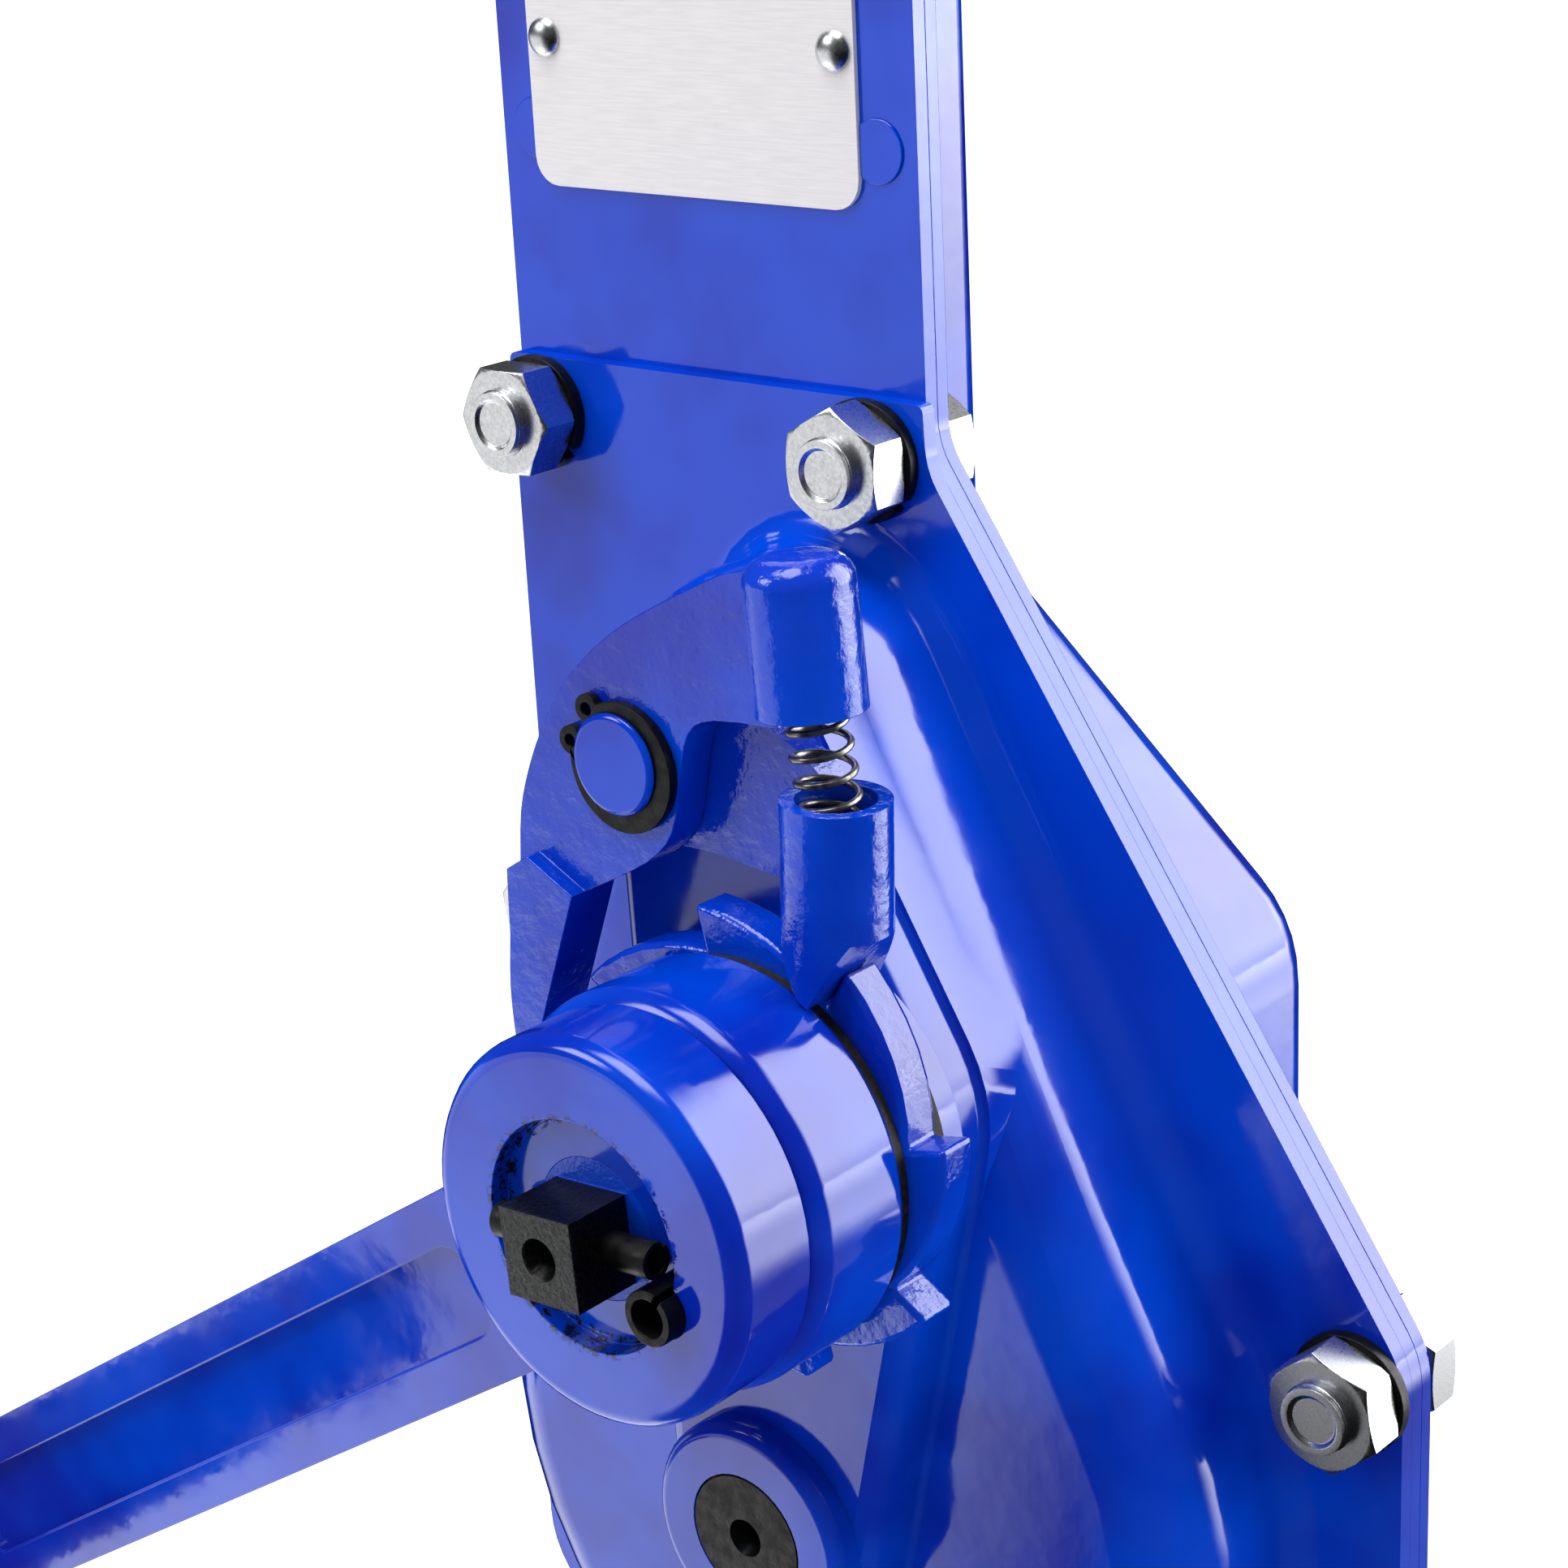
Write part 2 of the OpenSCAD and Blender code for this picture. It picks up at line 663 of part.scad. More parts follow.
// Nameplate with its rivets
nameplate_mid = -0.018 * casing_width;
rivet_inset = 0.22 * nameplate_h;
rivet_shank_r = 0.25 * rivet_d;

module at_rivets() {
    for (side = [-1, 1], level = [rivet_inset, nameplate_h - rivet_inset])
        translate([nameplate_mid + side * (nameplate_w / 2 - 0.6 * rivet_d), 0,
            crank_height + nameplate_above + level]) children();
}

module nameplate_blank(behind) {
    half = nameplate_w / 2;
    corner_r = 0.07 * nameplate_w;
    translate([nameplate_mid, 0, crank_height + nameplate_above])
        slab(plate_front - nameplate_t, nameplate_t + behind)
            polygon(rounded([[-half, 0], [half, 0], [half, nameplate_h], [-half, nameplate_h]],
                corner_r * [1, 1, 1, 1]));
}

module nameplate() {
    color("#d9dadd") difference() {
        nameplate_blank(0);
        at_rivets() rod(plate_front - over, 2 * over, rivet_shank_r);
    }
}

module nameplate_rivets() {
    head = 0.28 * rivet_d;
    color(zinc) at_rivets() union() {
        rod(plate_front - nameplate_t, nameplate_t, rivet_shank_r);
        translate([0, plate_front - nameplate_t, 0]) rotate([90, 0, 0]) rotate_extrude() polygon(concat(
            [[0, 0]],
            [for (i = [0:5]) [rivet_d / 2 * cos(18 * i), head * sin(18 * i)]]));
    }
}

// Bearings
module bush(y, t) {
    color(bronze) difference() {
        rod(y, t, bush_r);
        rod(y - over, t + 2 * over, journal_r + fit);
    }
}

module crank_bush_front() {
    at_crank() bush(pad_front + boss_wall, front_inner - pad_front - boss_wall);
}

module crank_bush_rear() {
    at_crank() bush(-plate_back, bush_len);
}

module gear_bush_front() {
    at_gear() bush(boss_front + boss_wall, front_inner - boss_front - boss_wall);
}

module gear_bush_rear() {
    at_gear() bush(-plate_back, bush_len);
}

// Gear shaft
gear_front = plate_front - 0.75 * sheet - gear_face;
gear_key_w = 0.6 * gear_seat_r;
shaft_end = -plate_back + bush_len - gap;

// Centre hole in a shaft's front end at y
module centre_drill(y, r) {
    translate([0, y, 0]) rotate([-90, 0, 0]) rotate_extrude()
        polygon([[0, -over], [r, -over], [r, 0], [r / 2, 0.9 * r], [r / 2, 2 * r], [0, 2.3 * r]]);
}

module gear_key_bar() {
    translate([-gear_key_w / 2, gear_front, gear_seat_r - gear_key_w / 2])
        cube([gear_key_w, gear_face, gear_key_w]);
}

module pinion_shaft() {
    color(black_steel) at_gear() difference() {
        union() {
            rod(boss_front, shaft_end - boss_front, journal_r);
            rod(gear_front, plate_back - gear_front, gear_seat_r);
            slab(gap - rack_depth / 2, rack_depth - 2 * gap) rotate(180 + 180 / pinion_teeth)
                polygon(gear_outline(
                    pinion_teeth, rack_module, pinion_shift, pinion_tip_r, pinion_root_r, rack_backlash, 5));
        }
        centre_drill(boss_front, 0.3 * journal_r);
        gear_key_bar();
    }
}

module gear_wheel() {
    root = gear_r - gear_module * (1.25 + gear_shift);
    hub = 1.8 * gear_seat_r;
    web_cut = 0.28 * gear_face;
    color(bare_steel) at_gear() difference() {
        slab(gear_front, gear_face) rotate(line_angle) polygon(gear_outline(
            gear_teeth, gear_module, -gear_shift, gear_tip_r, root, gear_backlash, 2));
        rod(gear_front - over, gear_face + 2 * over, gear_seat_r);
        for (y = [gear_front - over, gear_front + gear_face - web_cut]) difference() {
            rod(y, web_cut + over, 0.86 * root);
            rod(y - over, web_cut + 3 * over, hub);
        }
        gear_key_bar();
    }
}

module gear_key() {
    color(bare_steel) at_gear() gear_key_bar();
}

// Crank shaft
bush_front = eye_front + 0.22 * eye_len;
square_front = eye_front - 0.62 * square_w;
shaft_phase = 4;
cross_pin_r = 2.5;
cross_pin_len = 28;
cross_pin_y = bush_front - 1.4 * cross_pin_r;
sleeve_r = 1.25 * journal_r;
flange_key_w = 0.44 * journal_r;

module flange_key_bar() {
    translate([-flange_key_w / 2, pressure_front, 0.8 * journal_r])
        cube([flange_key_w, flange_t, flange_key_w]);
}

module drive_shaft() {
    pinion_front = gear_front - 0.05 * gear_face;
    pinion_len = plate_front - gap - pinion_front;
    root = drive_r - gear_module * (1.25 - gear_shift);
    color(black_steel) at_crank() difference() {
        union() {
            rod(bush_front, shaft_end - bush_front, journal_r);
            slab(pinion_front, pinion_len) rotate(line_angle + 180 + 180 / drive_teeth) polygon(gear_outline(
                drive_teeth, gear_module, gear_shift, drive_tip_r, root, gear_backlash));
            rotate([0, -shaft_phase, 0]) translate([-square_w / 2, square_front, -square_w / 2])
                cube([square_w, bush_front - square_front + over, square_w]);
        }
        centre_drill(square_front, 0.24 * square_w);
        rotate([0, -shaft_phase, 0]) translate([-square_w, cross_pin_y, 0]) rotate([0, 90, 0])
            cylinder(h = 2 * square_w, r = cross_pin_r);
        flange_key_bar();
    }
}

// A rolled pin along +Z: a slit tube
module rolled_pin(r, length) {
    difference() {
        cylinder(h = length, r = r);
        translate([0, 0, -over]) cylinder(h = length + 2 * over, r = 0.68 * r);
        translate([0, -0.12 * r, -over]) cube([2 * r, 0.24 * r, length + 2 * over]);
    }
}

module cross_pin() {
    color(black_steel) at_crank() rotate([0, -shaft_phase, 0])
        translate([-cross_pin_len / 2, cross_pin_y, 0]) rotate([0, 90, 0]) rotate([0, 0, 140])
            rolled_pin(cross_pin_r, cross_pin_len);
}

module pressure_flange() {
    color(blue) at_crank() difference() {
        union() {
            rod(pressure_front, flange_t, 0.94 * brake_hub_r);
            rod(hub_back + gap / 2, pressure_front + flange_t - hub_back - gap / 2, sleeve_r);
        }
        rod(hub_back - over, pad_front - hub_back + 2 * over, journal_r);
        flange_key_bar();
    }
}

module flange_key() {
    color(bare_steel) at_crank() flange_key_bar();
}

// Ratchet wheel: radial faces hold the load, sloping backs lift the pawls
ratchet_teeth = 8;
tooth_step = 360 / ratchet_teeth;
ratchet_angle = 58.5;

function slope_radius(share) = ratchet_r - (ratchet_r - ratchet_root_r) * share;

function ratchet_outline(steps = 6) =
    [for (tooth = [ratchet_teeth - 1:-1:0], i = [steps:-1:0])
        polar(slope_radius(i / steps), ratchet_angle - tooth_step * (tooth + i / steps))];

module ratchet_wheel() {
    color(blue) at_crank() difference() {
        slab(ratchet_front, ratchet_t) polygon(ratchet_outline());
        rod(ratchet_front - over, ratchet_t + 2 * over, sleeve_r + fit);
    }
}

module friction_disc(y) {
    color("#6b5644") at_crank() difference() {
        rod(y, lining_t, 0.965 * brake_hub_r);
        rod(y - over, lining_t + 2 * over, sleeve_r + fit);
    }
}

module friction_disc_rear() {
    friction_disc(ratchet_back);
}

module friction_disc_front() {
    friction_disc(ratchet_front - lining_t);
}

// Crank
bush_outer_r = 0.54 * brake_hub_r;
stop_pin_r = 3.9;
stop_pin_angle = -24;
arm_end_r = 0.58 * arm_width;
arm_front = hub_front - arm_t;
grip_pin_r = 6.5;
grip_washer_t = 2;
grip_front = arm_front - gap - grip_len;
washer_front = grip_front - gap - grip_washer_t;

module at_stop_pin() {
    place = polar(bush_outer_r - 0.06 * stop_pin_r, stop_pin_angle);
    at_crank() translate([place[0], 0, place[1]]) children();
}

module at_grip() {
    place = polar(crank_radius, crank_angle);
    at_crank() translate([place[0], 0, place[1]]) children();
}

module brake_hub() {
    color(blue) at_crank() difference() {
        domed_disc(hub_front, brake_hub_len, brake_hub_r, 0.12 * brake_hub_r, 0);
        rod(hub_front - over, brake_hub_len + 2 * over, bush_outer_r);
    }
}

module thread_bush() {
    color(blue) difference() {
        at_crank() rod(bush_front, hub_back - bush_front, bush_outer_r);
        at_crank() rod(bush_front - over, hub_back - bush_front + 2 * over, journal_r + fit);
        at_stop_pin() rod(eye_front - over, eye_len + over, stop_pin_r);
    }
}

module stop_pin() {
    front = cross_pin_y - cross_pin_r;
    color(black_steel) at_stop_pin() translate([0, hub_front, 0]) rotate([90, 0, 0]) rotate([0, 0, 60])
        rolled_pin(stop_pin_r, hub_front - front);
}

module arm_panel() {
    half = 0.25 * arm_width;
    start = 1.18 * eye_r;
    end = crank_radius - 1.6 * arm_end_r;
    rotate(crank_angle) polygon(rounded([[start, -half], [end, -half], [end, half], [start, half]],
        0.8 * half * [1, 1, 1, 1]));
}

module crank_arm() {
    panel_depth = 0.3 * arm_t;
    color(blue) difference() {
        union() {
            at_crank() domed_disc(eye_front, eye_len, eye_r, 0.1 * eye_r, 0);
            at_crank() slab(arm_front, arm_t) rotate(crank_angle) union() {
                translate([0, -arm_width / 2]) square([crank_radius, arm_width]);
                translate([crank_radius, 0]) circle(r = arm_end_r);
            }
        }
        at_crank() slab(arm_front - over, over + panel_depth) arm_panel();
        at_crank() slab(hub_front - panel_depth, over + panel_depth) arm_panel();
        at_crank() rod(bush_front, eye_len, bush_outer_r);
        at_crank() rod(eye_front - over, bush_front - eye_front + over, 1.05 * bush_outer_r);
        at_stop_pin() rod(eye_front - over, eye_len + over, stop_pin_r);
        at_grip() rod(arm_front - over, arm_t + 2 * over, grip_pin_r);
    }
}

module grip_pin() {
    head = 0.5 * grip_pin_r;
    color(zinc) at_grip() rod(washer_front - head, hub_front - washer_front + head, grip_pin_r);
}

module crank_grip() {
    r = grip_d / 2;
    color("#1b1c1e") at_grip() difference() {
        translate([0, grip_front, 0]) rotate([-90, 0, 0]) rotate_extrude() polygon(concat(
            [[0, 0]],
            [for (i = [0:4]) [r * (0.7 + 0.3 * sin(22.5 * i)), 0.3 * r * (1 - cos(22.5 * i))]],
            [[0.9 * r, 0.35 * grip_len], [0.9 * r, 0.65 * grip_len], [r, 0.94 * grip_len],
                [0.85 * r, grip_len], [0, grip_len]]));
        rod(grip_front - over, grip_len + 2 * over, grip_pin_r + fit);
    }
}

module grip_washer() {
    color(zinc) at_grip() difference() {
        rod(washer_front, grip_washer_t, 1.5 * grip_pin_r);
        rod(washer_front - over, grip_washer_t + 2 * over, grip_pin_r);
    }
}

// Pawls, on one pin: the push pawl behind, the hook pawl in front
pawl_mid = (ratchet_front + ratchet_back) / 2;
push_front = pad_front - gap - push_t;
hook_back = push_front - gap;
hook_front = hook_back - hook_t;
claw_front = ratchet_front - 0.08 * ratchet_t;
clip_t = 0.1 * pawl_pin_d;
clip_back = hook_front - gap / 4;
pin_end = hook_front - 0.17 * pawl_pin_d;
groove_r = 0.44 * pawl_pin_d;
tip_gap = 0.35;

function near_pin(x_share, z_share) = [pin_x + x_share * pin_up, pin_z + z_share * pin_up];
function near_crank(r, a) = [crank_x, crank_height] + polar(r, a);

module pawl_pin() {
    r = pawl_pin_d / 2;
    color(blue) at_pin() difference() {
        union() {
            rod(clip_back - clip_t, front_inner - clip_back + clip_t, r);
            domed_disc(pin_end, clip_back - pin_end, r, 0.14 * r, 0);
        }
        difference() {
            rod(clip_back - clip_t, clip_t, 2 * r);
            rod(clip_back - clip_t - over, clip_t + 2 * over, groove_r);
        }
    }
}

// Retaining ring in the plane: an open ring, thickest opposite its two drilled lugs
module clip_shape(inner, outer, lug_r, middle, spread) {
    shift = outer - inner;
    difference() {
        union() {
            difference() {
                translate(polar(shift / 4, middle + 180)) circle(r = outer - shift / 4);
                polygon([[0, 0], polar(3 * outer, middle - spread), polar(3 * outer, middle + spread)]);
            }
            for (side = [-1, 1]) translate(polar(inner + lug_r, middle + side * spread)) circle(r = lug_r);
        }
        circle(r = inner);
        for (side = [-1, 1]) translate(polar(inner + lug_r, middle + side * spread))
            circle(r = 0.45 * lug_r, $fn = 24);
    }
}

module pawl_circlip() {
    color(black_steel) at_pin() slab(clip_back - clip_t, clip_t)
        clip_shape(groove_r, 1.38 * pawl_pin_d / 2, 0.14 * pawl_pin_d, 146, 21);
}

// Cup on the push pawl and cap on the hook pawl, each with its own tilt
cup_tilt = 2;
cap_tilt = -4;
cup_place = [pin_x + 0.718 * pin_up, pin_z - 0.2126 * pin_up];
cap_place = [pin_x + 0.6476 * pin_up, pin_z + 0.437 * pin_up];
cup_rise = 0.24 * pin_up;
cap_reach = 0.187 * pin_up;
cap_dome = 0.22 * pin_up;

module at_cup() {
    translate([cup_place[0], pawl_mid, cup_place[1]]) rotate([0, cup_tilt, 0]) children();
}

module at_cap() {
    translate([cap_place[0], pawl_mid, cap_place[1]]) rotate([0, cap_tilt, 0]) children();
}

module push_pawl() {
    slip = polar(tip_gap, ratchet_angle + 90);
    tip = near_crank(ratchet_root_r + tip_gap, ratchet_angle) + slip;
    face_end = near_crank(1.3 * ratchet_r, ratchet_angle) + slip;
    wedge = [tip, face_end, face_end + [0, cup_r],
        cup_place + [-cup_r, cup_r], cup_place - [1.07 * cup_r, 0.64 * cup_r]];
    arm = smooth([near_pin(-0.2, 0.16), near_pin(0.05, 0.27), near_pin(0.33, 0.17), near_pin(0.6, 0.02),
        near_pin(0.66, -0.22), near_pin(0.46, -0.28), near_pin(0.2, -0.26), near_pin(-0.1, -0.25),
        near_pin(-0.27, -0.06)]);
    color(blue) difference() {
        union() {
            slab(push_front, push_t) polygon(arm);
            at_cup() translate([0, 0, -0.75 * cup_r]) cylinder(h = cup_rise + 0.75 * cup_r, r = cup_r);
            intersection() {
                slab(pawl_mid - 2 * cup_r, 4 * cup_r) polygon(wedge);
                at_cup() translate([0, 0, -2 * cup_r]) cylinder(h = 3 * cup_r, r = cup_r);
            }
        }
        at_cup() cylinder(h = 2 * cup_rise, r = cup_bore_d / 2);
        at_pin() rod(push_front - over, push_t + 2 * over, pawl_pin_d / 2 + fit);
        at_crank() rod(hub_back - 2 * cup_r, 2 * cup_r + gap, brake_hub_r + 2 * tip_gap);
    }
}

hook_angle = ratchet_angle + 3.5 * tooth_step;
hook_room_r = 1.145 * ratchet_r;
hook_lap = 8;

module hook_plate() {
    polygon(concat(
        smooth_open([near_pin(0.6, 0.6), near_pin(0.425, 0.585), near_pin(0.282, 0.521),
            near_pin(0.133, 0.445), near_pin(-0.005, 0.362), near_pin(-0.12, 0.272), near_pin(-0.222, 0.164),
            near_pin(-0.308, 0.032), near_pin(-0.37, -0.096), near_pin(-0.411, -0.223),
            near_pin(-0.429, -0.38)]),
        smooth_open([near_pin(-0.177, -0.411), near_pin(0.06, -0.28), near_pin(0.165, -0.17),
            near_pin(0.203, -0.014), near_pin(0.245, 0.119), near_pin(0.34, 0.172), near_pin(0.6, 0.19)])));
}

module hook_claw() {
    slope = slope_radius(0.5) + tip_gap;
    lap = slope_radius(0.5 - hook_lap / tooth_step) + 1.5 * tip_gap;
    polygon(concat(
        [near_pin(-0.177, -0.411), near_pin(-0.346, -0.327), near_pin(-0.429, -0.38)],
        smooth_open([near_pin(-0.436, -0.575), near_pin(-0.452, -0.74), near_pin(-0.445, -0.9),
            near_pin(-0.415, -1.1),
            near_pin(-0.33, -1.35), near_crank(1.18 * ratchet_r, hook_angle + 6)]),
        [near_crank(lap, hook_angle + hook_lap), near_crank(slope, hook_angle)],
        [for (i = [0:6]) near_crank(hook_room_r, hook_angle - 49 * i / 6)]));
}

module hook_pawl() {
    top = cap_reach + cap_dome;
    color(blue) difference() {
        union() {
            slab(hook_front, hook_t) hook_plate();
            slab(claw_front, hook_back - claw_front) hook_claw();
            at_cap() translate([0, 0, -cap_reach]) rotate_extrude() polygon(concat(
                [[0, 0], [cup_r, 0]],
                [for (i = [0:5]) [cup_r * (0.5 + 0.5 * cos(18 * i)), top - 0.45 * cup_r * (1 - sin(18 * i))]],
                [[0, top]]));
        }
        at_cap() translate([0, 0, -2 * cap_reach]) cylinder(h = 2 * cap_reach, r = cup_bore_d / 2);
        at_pin() rod(hook_front - over, hook_t + 2 * over, pawl_pin_d / 2 + fit);
    }
}

// Pawl spring: wire wound round a line that bends from the cup's axis to the cap's
coil_r = (spring_d - wire_d) / 2;
coil_foot = [cup_place[0], pawl_mid, cup_place[1]];
coil_head = [cap_place[0], pawl_mid, cap_place[1]];
coil_len = norm(coil_head - coil_foot);
rings_per_curl = 8;
coil_rings = ceil(rings_per_curl * spring_curls);
bend_turn = wire_d / coil_r * 180 / PI;
coil_turn = 360 * spring_curls + 2 * bend_turn;
coil_rise = coil_len - 4 * wire_d;

function tilted(a) = [sin(a), 0, cos(a)];

// Place on the line at a share of its length
function coil_line(t) =
    let (foot_pull = coil_foot + coil_len / 3 * tilted(cup_tilt),
         head_pull = coil_head - coil_len / 3 * tilted(cap_tilt))
    pow(1 - t, 3) * coil_foot + 3 * pow(1 - t, 2) * t * foot_pull
        + 3 * (1 - t) * t * t * head_pull + pow(t, 3) * coil_head;

function coil_lean(t) = cup_tilt + (cap_tilt - cup_tilt) * t;

function coil_out(track) =
    let (lean = coil_lean(track[1] / coil_len))
    cos(track[0]) * [cos(lean), 0, -sin(lean)] + sin(track[0]) * [0, 1, 0];

function coil_point(track) = coil_line(track[1] / coil_len) + coil_r * coil_out(track);

// Turn and height of each ring: a straight end, its bend, the curls, and the same at the top
coil_track = concat(
    [[0, 0]],
    [for (i = [0:2]) [bend_turn * (1 - cos(30 * i)), wire_d * (1 + sin(30 * i))]],
    [for (k = [0:coil_rings]) let (t = k / coil_rings)
        [bend_turn + 360 * spring_curls * t, 2 * wire_d + coil_rise * t]],
    [for (i = [2:-1:0]) [coil_turn - bend_turn * (1 - cos(30 * i)), coil_len - wire_d * (1 + sin(30 * i))]],
    [[coil_turn, coil_len]]);

function wire_ring(k) =
    let (last = len(coil_track) - 1,
         middle = coil_point(coil_track[k]),
         along = unit(coil_point(coil_track[min(k + 1, last)]) - coil_point(coil_track[max(k - 1, 0)])),
         out = coil_out(coil_track[k]))
    [for (a = [0:60:300]) middle + wire_d / 2 * (cos(a) * out + sin(a) * cross(along, out))];

module pawl_spring() {
    color(bare_steel) skin([for (k = [0:len(coil_track) - 1]) wire_ring(k)]);
}

// Least distance between the wire's surface and itself, from one curl to the next
coil_gap = min([for (k = [0:len(coil_track) - rings_per_curl - 3], j = [-2:2])
    norm(coil_point(coil_track[k + rings_per_curl + j]) - coil_point(coil_track[k])) - wire_d]);
echo(pawl_spring_gap = coil_gap);

// Claw at the casing's lower end, notched for the flanges
claw_t = 0.3 * claw_height;
claw_back_t = 0.8 * claw_t;

module claw() {
    wall = -channel_width / 2;
    low = claw_height - claw_t;
    high = claw_height + 2.2 * claw_t;
    color(blue) difference() {
        slab(-claw_width / 2, claw_width) polygon(rounded([
            [wall, low - 0.1 * claw_t], [wall, high], [wall - 0.7 * claw_back_t, high],
            [wall - claw_back_t, claw_height], [-claw_reach, claw_height],
            [-claw_reach, low + 0.3 * claw_t], [-claw_reach + claw_t, low - 0.1 * claw_t]],
            claw_t * [0, 0, 0.3, 0.35, 0.12, 0.3, 0.5]));
        translate([-flange_half, plate_front, 0]) cube([2 * flange_half, 2 * sheet, casing_top]);
    }
}

// Head
head_stem_r = 11;
head_cap_t = 10;
head_block_len = 32;
block_low = casing_top - head_block_len;
head_foot = casing_top + head_cap_t;
head_clip_t = 1.5;
head_groove_r = 0.9 * head_stem_r;
head_clip_top = block_low - gap;

module head_block() {
    half = channel_width / 2 - sheet;
    color(blue) difference() {
        union() {
            translate([-half, plate_back, block_low])
                cube([2 * half, -2 * plate_back, head_block_len + over]);
            translate([0, 0, casing_top]) linear_extrude(head_cap_t) polygon(belt(foot_discs(
                channel_width + 1.5 * sheet, 2 * channel_back + 1.5 * sheet, 1.5 * sheet)));
        }
        translate([0, 0, block_low - over])
            cylinder(h = head_block_len + head_cap_t + 2 * over, r = head_stem_r + fit);
    }
}

module swivel_head() {
    rise = casing_top + head_rise - head_foot - gap;
    notch = 0.42 * rise;
    color(blue) difference() {
        union() {
            translate([0, 0, head_clip_top - 3 * head_clip_t])
                cylinder(h = head_foot - head_clip_top + 3 * head_clip_t + over, r = head_stem_r);
            translate([0, 0, head_foot + gap]) rotate_extrude() polygon([
                [0, 0], [0.62 * head_r, 0], [0.66 * head_r, 0.1 * rise], [0.8 * head_r, 0.34 * rise],
                [0.96 * head_r, 0.48 * rise], [head_r, 0.6 * rise], [0.97 * head_r, rise], [0, rise]]);
        }
        for (turn = [0, 90]) translate([0, 0, casing_top + head_rise]) rotate([0, 0, turn])
            rotate([90, 0, 0]) translate([0, 0, -2 * head_r]) linear_extrude(4 * head_r)
                polygon([[-notch, over], [-notch, 0], [0, -notch], [notch, 0], [notch, over]]);
        translate([0, 0, head_clip_top - head_clip_t]) difference() {
            cylinder(h = head_clip_t, r = 2 * head_stem_r);
            translate([0, 0, -over]) cylinder(h = head_clip_t + 2 * over, r = head_groove_r);
        }
    }
}

module head_circlip() {
    color(black_steel) translate([0, 0, head_clip_top - head_clip_t]) linear_extrude(head_clip_t)
        clip_shape(head_groove_r, 1.28 * head_stem_r, 0.18 * head_stem_r, 90, 18);
}

// Carrying handle on the back of the channel
handle_bar_r = 6;
handle_reach = 42;
handle_bend = 14;
handle_len = 120;
handle_low = crank_height + 1.9 * cover_above;
handle_high = handle_low + handle_len;

module carry_handle() {
    out = channel_back + handle_reach - handle_bar_r;
    leg = out - handle_bend - channel_back;
    color(blue) union() {
        for (level = [handle_low, handle_high]) translate([0, 0, level]) rod(channel_back, leg, handle_bar_r);
        translate([0, out, handle_low + handle_bend])
            cylinder(h = handle_high - handle_low - 2 * handle_bend, r = handle_bar_r);
        translate([0, out - handle_bend, handle_low + handle_bend]) rotate([0, -90, 0]) rotate([0, 0, 90])
            rotate_extrude(angle = 90) translate([handle_bend, 0]) circle(r = handle_bar_r);
        translate([0, out - handle_bend, handle_high - handle_bend]) rotate([0, -90, 0])
            rotate_extrude(angle = 90) translate([handle_bend, 0]) circle(r = handle_bar_r);
    }
}

foot_plate();
foot_socket();
foot_pins();
rack();
rack_guides();
middle_plate();
gear_cover();
rear_casing();
plug_welds();
cover_bolts();
cover_nuts();
spring_washers();
nameplate();
nameplate_rivets();
crank_bush_front();
crank_bush_rear();
gear_bush_front();
gear_bush_rear();
pinion_shaft();
gear_wheel();
gear_key();
drive_shaft();
pressure_flange();
flange_key();
ratchet_wheel();
friction_disc_rear();
friction_disc_front();
brake_hub();
thread_bush();
stop_pin();
cross_pin();
crank_arm();
grip_pin();
crank_grip();
grip_washer();
pawl_pin();
pawl_circlip();
push_pawl();
hook_pawl();
pawl_spring();
claw();
head_block();
swivel_head();
head_circlip();
carry_handle();
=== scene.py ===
import json
import math

import bmesh
import bpy
from bpy.props import FloatProperty, FloatVectorProperty, IntProperty, PointerProperty
from mathutils import Matrix, Vector


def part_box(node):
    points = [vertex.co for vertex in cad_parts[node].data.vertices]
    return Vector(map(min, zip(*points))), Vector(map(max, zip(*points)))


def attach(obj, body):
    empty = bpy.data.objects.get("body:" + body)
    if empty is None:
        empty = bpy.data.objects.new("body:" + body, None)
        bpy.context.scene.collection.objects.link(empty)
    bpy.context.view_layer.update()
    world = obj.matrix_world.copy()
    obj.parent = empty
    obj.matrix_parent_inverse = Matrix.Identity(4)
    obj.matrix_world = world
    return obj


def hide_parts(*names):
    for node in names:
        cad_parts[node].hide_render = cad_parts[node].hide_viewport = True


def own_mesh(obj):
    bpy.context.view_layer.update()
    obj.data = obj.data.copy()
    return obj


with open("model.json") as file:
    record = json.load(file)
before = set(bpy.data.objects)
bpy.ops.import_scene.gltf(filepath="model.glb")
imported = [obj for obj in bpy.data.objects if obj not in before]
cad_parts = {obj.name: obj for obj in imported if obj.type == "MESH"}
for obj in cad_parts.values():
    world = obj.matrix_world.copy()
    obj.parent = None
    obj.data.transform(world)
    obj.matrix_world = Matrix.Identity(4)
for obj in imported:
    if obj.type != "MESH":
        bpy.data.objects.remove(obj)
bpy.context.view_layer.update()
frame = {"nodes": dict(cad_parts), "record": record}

bl_info = {
    "name": "Rack Jack",
    "version": (1, 0, 0),
    "blender": (4, 5, 0),
    "location": "View3D > Sidebar > Rack Jack",
    "description": "Dresses the packed rack jack: enamel, zinc, blackened steel, springs and small forms",
    "category": "Object",
}

RECORD = frame["record"]
BODY = {node: body for body, nodes in RECORD["behaviour"]["bodies"].items() for node in nodes}
MM = 0.001

# The pawl spring's seats from the pawl pin, as shares of the pin's height over the crank,
# and the leans of its ends in degrees
CUP_SEAT = (0.718, -0.2126)
CAP_SEAT = (0.6476, 0.437)
CUP_LEAN = 2
CAP_LEAN = -4
RINGS_PER_CURL = 24
